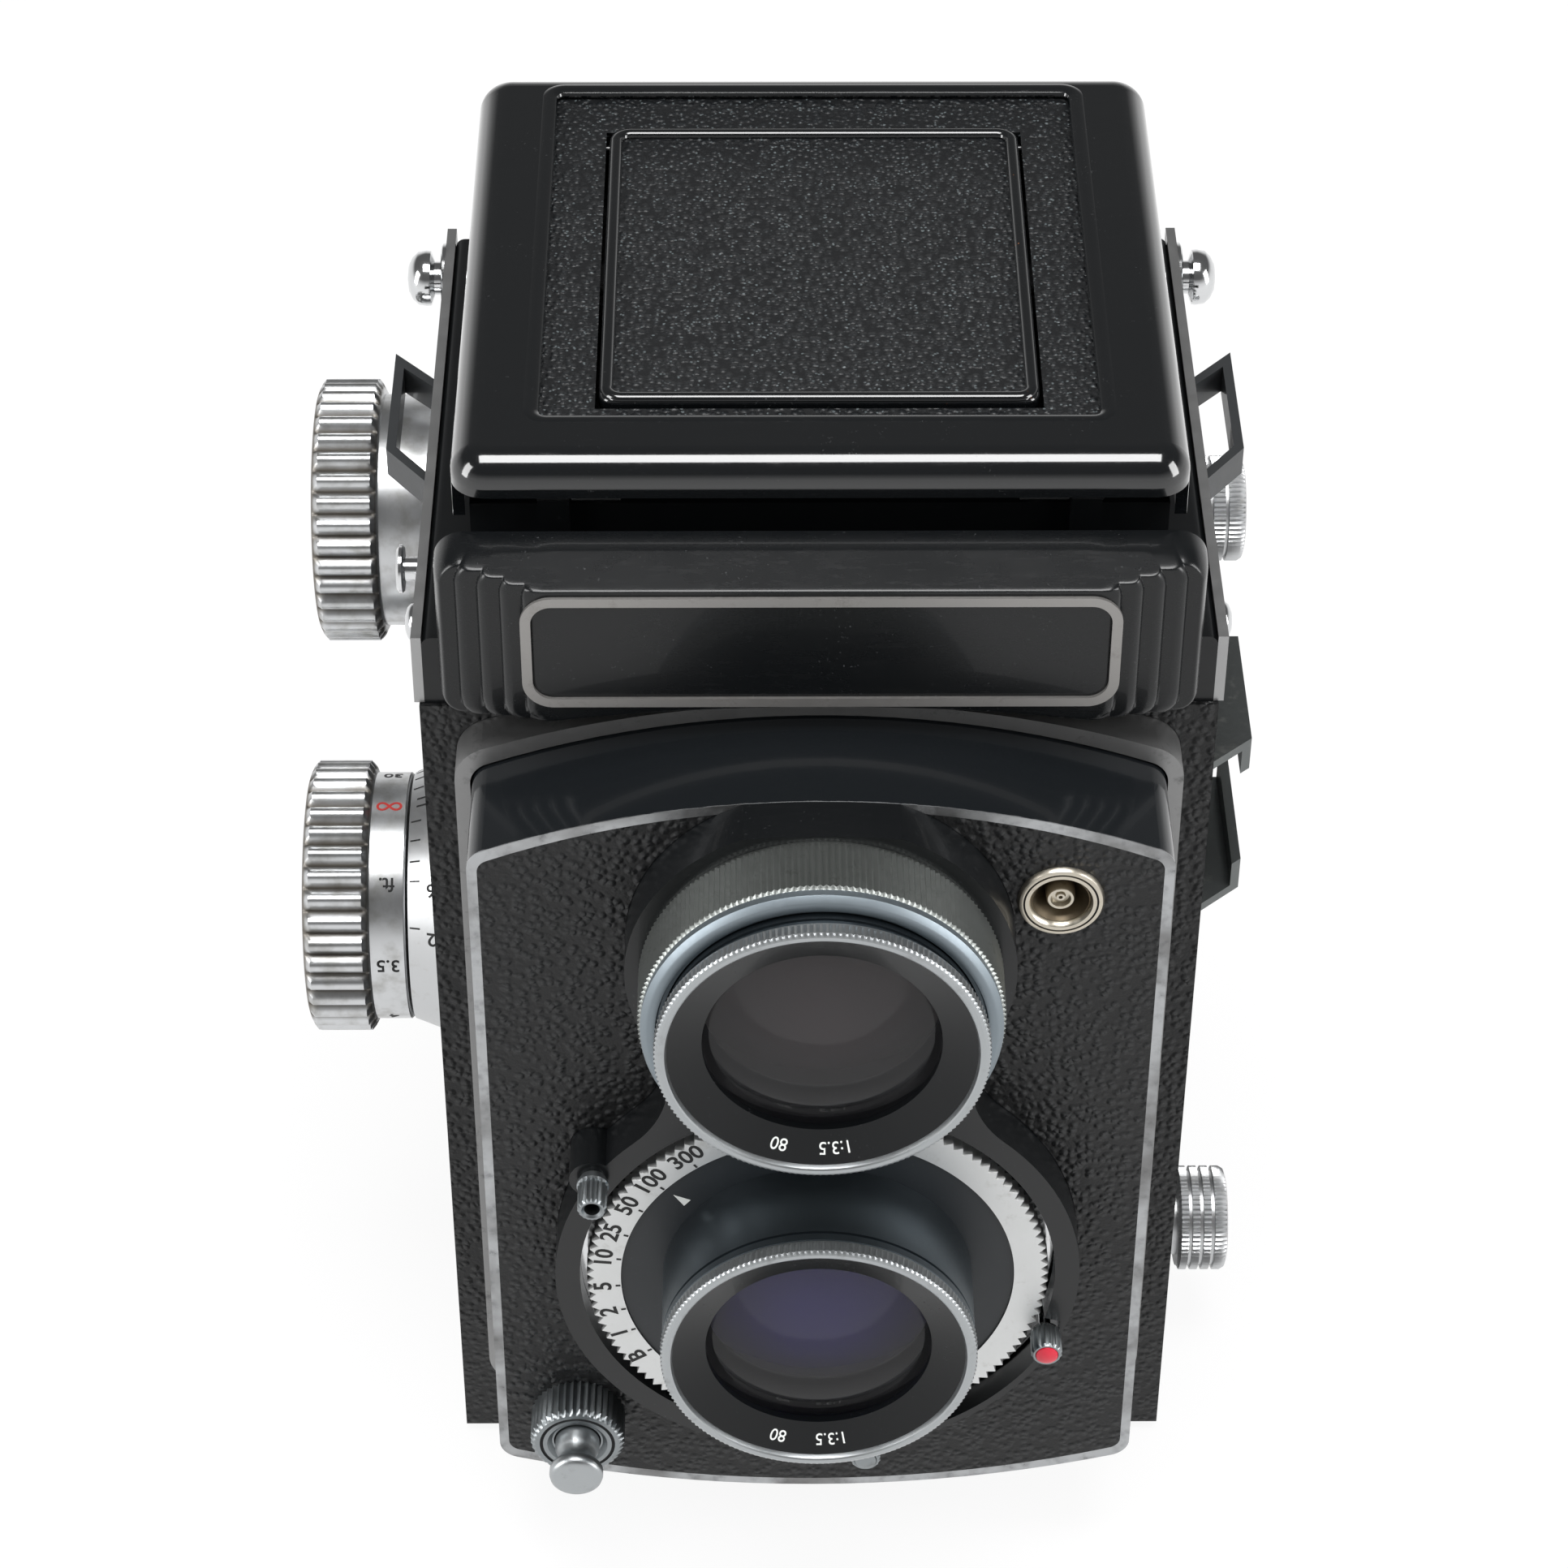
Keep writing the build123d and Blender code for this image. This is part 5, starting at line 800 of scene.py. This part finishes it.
def speed_ring():
    """Silver ring with a sharp serrated edge, and its speed numbers."""
    front = FACE - RING_LOW[1]
    back = FACE - RING_HIGH[1]
    bore = 20.1
    edge = (RING_HIGH[0] - RING_LOW[0]) / 2
    rows = [(front, bore), (front, edge - 1.0), (front, edge - 0.05, 1.0), (front - 0.1, edge, 1.0)]
    rows += [(back, edge, 1.0), (back, bore)]
    ring = turned("y", TAKING, fronted(rows), RING_TEETH, 0.75, "zigzag")
    piece("speed_ring_serrated", [ring], RING_SILVER, "speed_ring", ("speed_ring",), 25)
    place = flat_at(front)
    words = []
    for text, angle in SPEEDS:
        words.append(on_ring(lettering(text, 1.85, 0.05), TAKING, 21.95, angle, place))
        words.append(on_ring(sign_block(0.22, 0.5), TAKING, 20.45, angle, place))
    piece("speed_numbers", words, INK, "speed_ring")
    face = HOUSING_STAND - 0.1
    triangle = np.array([(-0.55, -0.9, 0), (0.55, -0.9, 0), (0, 0.9, 0)])
    thick = np.concatenate([triangle - (0, 0, PROUD / 2), triangle + (0, 0, PROUD / 2)])
    faces = [(2, 1, 0), (3, 4, 5), (0, 1, 4, 3), (1, 2, 5, 4), (2, 0, 3, 5)]
    mark = on_ring((thick, faces), TAKING, 18.0, 140.5, flat_at(face))
    piece("speed_index", [mark], WHITE_INK, "lens_board")


def lever_knob(name, body, angle, finish):
    """Knurled sleeve over a lever's knob, with a domed tip."""
    x = TAKING[0] + LEVER_REACH * cos(radians(angle))
    z = TAKING[1] + LEVER_REACH * sin(radians(angle))
    back = HOUSING_STAND + 0.25
    front = HOUSING_STAND + 3.55
    sleeve = [(back, 0.7), (back, 1.4), (back + 0.3, 1.62, 1.0), (front - 0.35, 1.62, 1.0),
            (front - 0.1, 1.4)]
    sleeve += [(front - 0.1, 1.2), (front - 0.25, 1.15), (front - 0.25, 0.7)]
    fitting(name + "_sleeve", (x, z), sleeve, AGED, teeth=16, depth=0.16, body=body)
    tip = [(front - 0.3, 0.0), (front - 0.3, 1.18), (front, 1.12), (front + 0.2, 0.7), (front + 0.27, 0.0)]
    fitting(name + "_tip", (x, z), tip, finish, steps=32, body=body)


# Fittings on the lens board

def board_fittings():
    """Flash socket, shutter release with its collar, and cable socket."""
    flash = (23.1, 96.3)
    rim = BOARD_STAND + 0.6
    outer = [(BOARD_STAND - 0.3, 2.75), (BOARD_STAND - 0.3, 4.2), (rim - 0.35, 4.2), (rim - 0.08, 4.02),
            (rim, 3.8)]
    outer += [(rim, 3.66), (rim - 0.2, 3.62), (rim - 0.2, 3.5), (rim, 3.46), (rim, 3.1), (rim - 0.15, 2.95),
            (rim - 0.6, 2.75)]
    fitting("flash_socket_rim", flash, outer, NICKEL, ("board_fittings",))
    well = [(rim - 0.6, 3.0), (rim - 0.5, 2.72), (rim - 1.6, 2.2), (rim - 2.6, 1.5), (rim - 3.0, 1.5),
            (rim - 3.0, 3.0)]
    fitting("flash_socket_well", flash, well, BROWN_WELL)
    contact = [(rim - 3.2, 0.0), (rim - 3.2, 1.5), (rim - 0.9, 1.4), (rim - 0.65, 1.25), (rim - 0.65, 1.0),
            (rim - 1.2, 0.85)]
    contact += [(rim - 1.2, 0.5), (rim - 0.9, 0.42), (rim - 0.9, 0.2), (rim - 1.4, 0.16), (rim - 1.4, 0.0)]
    fitting("flash_socket_contact", flash, contact, NICKEL, steps=48)
    groove = [(rim - 0.24, 3.4), (rim - 0.12, 3.5), (rim - 0.12, 3.62), (rim - 0.24, 3.7)]
    fitting("flash_socket_groove", flash, groove, DEEP_BLACK)

    low, high = span("release_button")
    release = ((low[0] + high[0]) / 2, (low[2] + high[2]) / 2)
    top = BOARD_STAND + 4.5
    collar = [(BOARD_STAND, 2.5), (BOARD_STAND, 5.0, 1.0), (top - 0.55, 5.0, 1.0), (top - 0.15, 4.7, 0.6),
            (top, 4.45)]
    collar += [(top, 4.0), (top - 0.25, 3.95), (top - 0.25, 3.7), (top, 3.65), (top, 3.2), (top - 0.5, 2.7),
            (top - 0.5, 2.5)]
    fitting("release_collar_knurled", release, collar, AGED, ("board_fittings",), 40, 0.35,
            sharp=25)
    line = [(top - 0.28, 3.6), (top - 0.12, 3.68), (top - 0.12, 3.97), (top - 0.28, 4.05)]
    fitting("release_collar_groove", release, line, DEEP_BLACK)
    front = FACE - low[1]
    back = FACE - high[1]
    button = [(back, 0.0), (back, 3.15), (back + 1.0, 3.15), (back + 1.0, 2.35), (top + 0.7, 2.35),
            (top + 1.3, 2.1)]
    button += [(top + 2.0, 1.9), (front - 2.3, 1.95), (front - 1.9, 2.2), (front - 1.65, 2.65),
            (front - 1.4, 2.83)]
    button += [(front - 0.8, 2.85), (front - 0.4, 2.72), (front - 0.15, 2.4), (front - 0.03, 1.8),
            (front, 0.9), (front, 0.0)]
    fitting("release_button_turned", release, button, RIM_METAL, ("release_button",),
            body="release_button")

    cable = (-22.6, 63.1)
    end = HOUSING_STAND + 4.3
    sleeve = [(HOUSING_STAND - 0.1, 0.8), (HOUSING_STAND - 0.1, 1.35), (HOUSING_STAND + 0.5, 1.35),
            (HOUSING_STAND + 0.6, 1.62)]
    sleeve += [(HOUSING_STAND + 0.95, 1.62), (HOUSING_STAND + 1.1, 1.5, 1.0), (end - 0.3, 1.5, 1.0),
            (end, 1.3, 0.4)]
    sleeve += [(end, 1.05), (end - 0.2, 0.8)]
    fitting("cable_socket_knurled", cable, sleeve, AGED, ("board_fittings",), 18, 0.18, sharp=25)


# Studs on the rails

def rail_studs():
    """Domed studs and their washers at the rear, screws at the front, and one flat stop."""
    height = 111.0
    rear = FACE + 66.8
    front = FACE + 7.0
    face = 39.5
    shells = []
    for sign in (-1, 1):
        washer = [(face, 0.0), (face, 3.8), (face + 0.35, 3.75), (face + 0.5, 3.5), (face + 0.5, 0.0)]
        stud = [(face + 0.5, 0.0), (face + 0.5, 1.8), (face + 1.3, 1.8), (face + 1.5, 2.4),
                (face + 1.7, 2.95)]
        stud += [(face + 2.2, 3.0), (face + 3.1, 2.85), (face + 3.7, 2.3), (face + 4.1, 1.5),
                (face + 4.3, 0.0)]
        screw = [(face, 0.0), (face, 2.0), (face + 0.35, 1.95), (face + 0.75, 1.6), (face + 1.0, 1.0),
                (face + 1.1, 0.0)]
        for rows, y in ((washer, rear), (stud, rear), (screw, front)):
            shells.append(turned("x", (y, height), [(sign * row[0], row[1]) for row in rows], steps=56))
    stop = [(face, 0.0), (face, 1.2), (face + 1.5, 1.2), (face + 1.6, 2.2), (face + 1.8, 2.4),
            (face + 2.1, 2.4)]
    stop += [(face + 2.35, 2.1), (face + 2.4, 0.0)]
    shells.append(turned("x", (front + 8.5, height), [(-row[0], row[1]) for row in stop], steps=56))
    piece("rail_studs_domed", shells, CHROME, "camera_body", ("rail_studs",))


# Nameplate housing

TERRACES = 4
TERRACE_WIDTH = 2.15
TERRACE_DROP = 0.8


def rise(distance, radius):
    """Quarter-round step: 0 at an edge and 1 once further in than the radius."""
    share = np.clip(distance / radius, 0, 1)
    return np.sqrt(1 - (1 - share) ** 2)


def soft_least(first, second, blend):
    """The lesser of two heights, their meeting line rounded over."""
    share = np.clip(0.5 + 0.5 * (second - first) / blend, 0, 1)
    return second * (1 - share) + first * share - blend * share * (1 - share)


def nameplate_block():
    """A height over (across, up). It is the sum of nested plates, each one terrace narrower than
    the last and each with a quarter-round edge, cut by the sloping plane of the top bevel. The
    lower edge is an arc, and the corners are round."""
    low, high = span("nameplate_housing")
    half = high[0]
    top = high[2]
    side_low = 107.3
    arch = 110.8
    full = FACE - low[1]
    corner = 3.0
    dense = np.linspace(-half, 9.0 - half, 120)
    middle = np.linspace(9.0 - half, half - 9.0, 70)[1:-1]
    across = np.concatenate([dense, middle, -dense[::-1]])
    share = np.concatenate([np.linspace(0, 0.1, 16), np.linspace(0.1, 0.86, 18)[1:-1],
            np.linspace(0.86, 1.0, 44)])
    inset = np.clip(half - np.abs(across), 0, corner)
    round_off = corner - np.sqrt(corner ** 2 - (corner - inset) ** 2)
    floor = side_low + (arch - side_low) * (1 - (across / half) ** 2) + round_off
    ceiling = top - round_off
    x = np.broadcast_to(across[:, None], (len(across), len(share)))
    z = floor[:, None] + (ceiling - floor)[:, None] * share[None, :]
    base = (side_low + (arch - side_low) * (1 - (across / half) ** 2))[:, None]

    def inside(width, roof, radius):
        """Distance in from the edge of a plate with round corners."""
        out_x = np.abs(x) - (width - radius)
        out_z = np.maximum(z - (roof - radius), base + radius - z)
        outer = np.hypot(np.maximum(out_x, 0), np.maximum(out_z, 0))
        return radius - outer - np.minimum(np.maximum(out_x, out_z), 0)

    height = (full - TERRACES * TERRACE_DROP) * rise(inside(half, top, corner), 0.9)
    for step in range(1, TERRACES + 1):
        height += TERRACE_DROP * rise(inside(half - step * TERRACE_WIDTH, top + 0.4, corner), 1.1)
    bevel = 2.3 + (top - z) * (full - 2.3) / 1.4
    height = np.maximum(soft_least(height, bevel, 0.35), 0)
    rear = np.where(z > BODY_TOP + 0.05, FACE + 0.55, FACE + 0.02)
    front_skin = np.stack([x, FACE - height, z], axis=-1).reshape(-1, 3)
    back_skin = np.stack([x, rear, z], axis=-1).reshape(-1, 3)
    points = np.concatenate([front_skin, back_skin])
    rows, columns = x.shape
    count = rows * columns
    front = np.array(lattice(rows, columns, False, False))
    lower = np.arange(columns)
    right = np.arange(1, rows) * columns + columns - 1
    upper = (rows - 1) * columns + np.arange(columns - 2, -1, -1)
    left = np.arange(rows - 2, 0, -1) * columns
    here = np.concatenate([lower, right, upper, left])
    there = np.roll(here, -1)
    wall = np.stack([there, here, here + count, there + count], axis=-1)
    faces = np.concatenate([front, front[:, ::-1] + count, wall]).tolist()
    piece("nameplate_block", [(points, faces)], PLATE_ENAMEL, "camera_body",
            ("nameplate_housing",), 50)


def lid_beads():
    """Rounded lips round the sunk panel of the lid and round the finder flap."""
    low, high = span("lid_leather")
    lid_top = span("hood_lid")[1][2]
    centre = ((low[0] + high[0]) / 2, (low[1] + high[1]) / 2)
    outline, out = rounded_outline((high[0] - low[0]) / 2 + 0.25, (high[1] - low[1]) / 2 + 0.25, 1.75, 10)
    shell = bead(outline, out, centre, lid_top - 0.45, 1.0, 0.55)
    piece("lid_panel_lip", [shell], LID_ENAMEL, "hood_lid")
    low, high = span("flap_leather")
    centre = ((low[0] + high[0]) / 2, (low[1] + high[1]) / 2)
    outline, out = rounded_outline((high[0] - low[0]) / 2 + 0.62, (high[1] - low[1]) / 2 + 0.62, 1.5, 10)
    shell = bead(outline, out, centre, span("finder_flap")[1][2] - 0.15, 0.66, 0.5)
    piece("flap_lip", [shell], FLAP_ENAMEL, "finder_flap")


# Light, floor and camera

def lamp(name, place, aim, width, height, power):
    """Soft rectangular lamp that points at a place."""
    data = bpy.data.lights.new(name, "AREA")
    data.shape = "RECTANGLE"
    data.size = width
    data.size_y = height
    data.energy = power
    light = bpy.data.objects.new(name, data)
    light.location = place
    light.rotation_euler = (Vector(aim) - Vector(place)).to_track_quat("-Z", "Y").to_euler()
    bpy.context.scene.collection.objects.link(light)


def sky():
    """White where it is looked at, white low down and dim high up where it is mirrored, and an even
    pale light elsewhere."""
    world = bpy.data.worlds.new("studio")
    bpy.context.scene.world = world
    world.use_nodes = True
    nodes = world.node_tree.nodes
    links = world.node_tree.links
    path = nodes.new("ShaderNodeLightPath")
    place = nodes.new("ShaderNodeTexCoord")
    split = nodes.new("ShaderNodeSeparateXYZ")
    links.new(place.outputs["Generated"], split.inputs[0])
    fall = nodes.new("ShaderNodeMapRange")
    for key, value in (("From Min", 0.0), ("From Max", 0.4), ("To Min", 0.95), ("To Max", 0.12)):
        fall.inputs[key].default_value = value
    links.new(split.outputs["Z"], fall.inputs["Value"])
    shine = nodes.new("ShaderNodeMix")
    shine.inputs[2].default_value = 0.5
    links.new(path.outputs["Is Glossy Ray"], shine.inputs[0])
    links.new(fall.outputs[0], shine.inputs[3])
    seen = nodes.new("ShaderNodeMath")
    seen.operation = "MAXIMUM"
    links.new(path.outputs["Is Camera Ray"], seen.inputs[0])
    links.new(path.outputs["Is Transmission Ray"], seen.inputs[1])
    total = nodes.new("ShaderNodeMix")
    total.inputs[3].default_value = 1.0
    links.new(seen.outputs[0], total.inputs[0])
    links.new(shine.outputs[0], total.inputs[2])
    background = nodes["Background"]
    background.inputs["Color"].default_value = (1.0, 1.0, 1.0, 1.0)
    links.new(total.outputs[0], background.inputs["Strength"])


def floor():
    """Wide pale floor that looks white and keeps a light shadow."""
    size = 4.0
    mesh = bpy.data.meshes.new("floor")
    corners = [(-size, -size, 0.0), (size, -size, 0.0), (size, size, 0.0), (-size, size, 0.0)]
    mesh.from_pydata(corners, [], [(0, 1, 2, 3)])
    finish = Finish("floor_white", Roughness=0.9, Specular_IOR_Level=0.0)
    finish.shader.inputs["Base Color"].default_value = tone(0.8, 0.8, 0.8)
    path = finish.add("LightPath")
    glow = finish.add("Emission")
    seen = Field(finish, path.outputs["Is Camera Ray"])
    glossy = Field(finish, path.outputs["Is Glossy Ray"])
    through = Field(finish, path.outputs["Is Transmission Ray"])
    share = seen.most(glossy.most(through)) * 0.9
    blend = finish.add("MixShader", None, {0: share, 1: finish.shader.outputs[0], 2: glow.outputs[0]})
    finish.links.new(blend.outputs[0], finish.nodes["Material Output"].inputs["Surface"])
    mesh.materials.append(finish.material)
    ground = bpy.data.objects.new("floor", mesh)
    bpy.context.scene.collection.objects.link(ground)


def camera():
    """Long lens above and in front, looking down at the camera."""
    turn = radians(0.5256)
    drop = radians(40.662)
    lean = radians(0.2117)
    forward = Vector((sin(turn) * cos(drop), cos(turn) * cos(drop), -sin(drop)))
    level = Vector((cos(turn), -sin(turn), 0.0))
    upright = level.cross(forward)
    right = level * cos(lean) + upright * sin(lean)
    up = upright * cos(lean) - level * sin(lean)
    data = bpy.data.cameras.new("camera")
    data.sensor_width = 36.0
    data.lens = 101.03
    eye = bpy.data.objects.new("camera", data)
    columns = Matrix((right, up, -forward)).transposed()
    eye.matrix_world = Matrix.Translation((-0.006443, -0.36655, 0.38036)) @ columns.to_4x4()
    bpy.context.scene.collection.objects.link(eye)
    bpy.context.scene.camera = eye


def main():
    bpy.context.scene.view_settings.view_transform = "Standard"
    paint_nodes()
    left_knobs()
    depth_marks()
    pull_knob("upper_pull_knob_knurled", "upper_pull_knob", 3, 0.3)
    pull_knob("lower_pull_knob_knurled", "lower_pull_knob", 4, 0.35)
    lens_heads()
    viewing_ring()
    speed_ring()
    lever_knob("cocking_knob", "cocking_lever", -19.0, RED_TIP)
    lever_knob("aperture_knob", "aperture_lever", -78.0, AGED)
    board_fittings()
    rail_studs()
    nameplate_block()
    lid_beads()
    floor()
    sky()
    lamp("overhead", (0.0, -0.12, 0.8), (0.0, 0.0, 0.06), 0.5, 0.35, 7.0)
    lamp("left_side", (-0.7, -0.3, 0.35), (0.0, 0.0, 0.07), 0.3, 0.6, 5.0)
    lamp("right_side", (0.7, -0.3, 0.35), (0.0, 0.0, 0.07), 0.3, 0.6, 5.0)
    camera()


main()
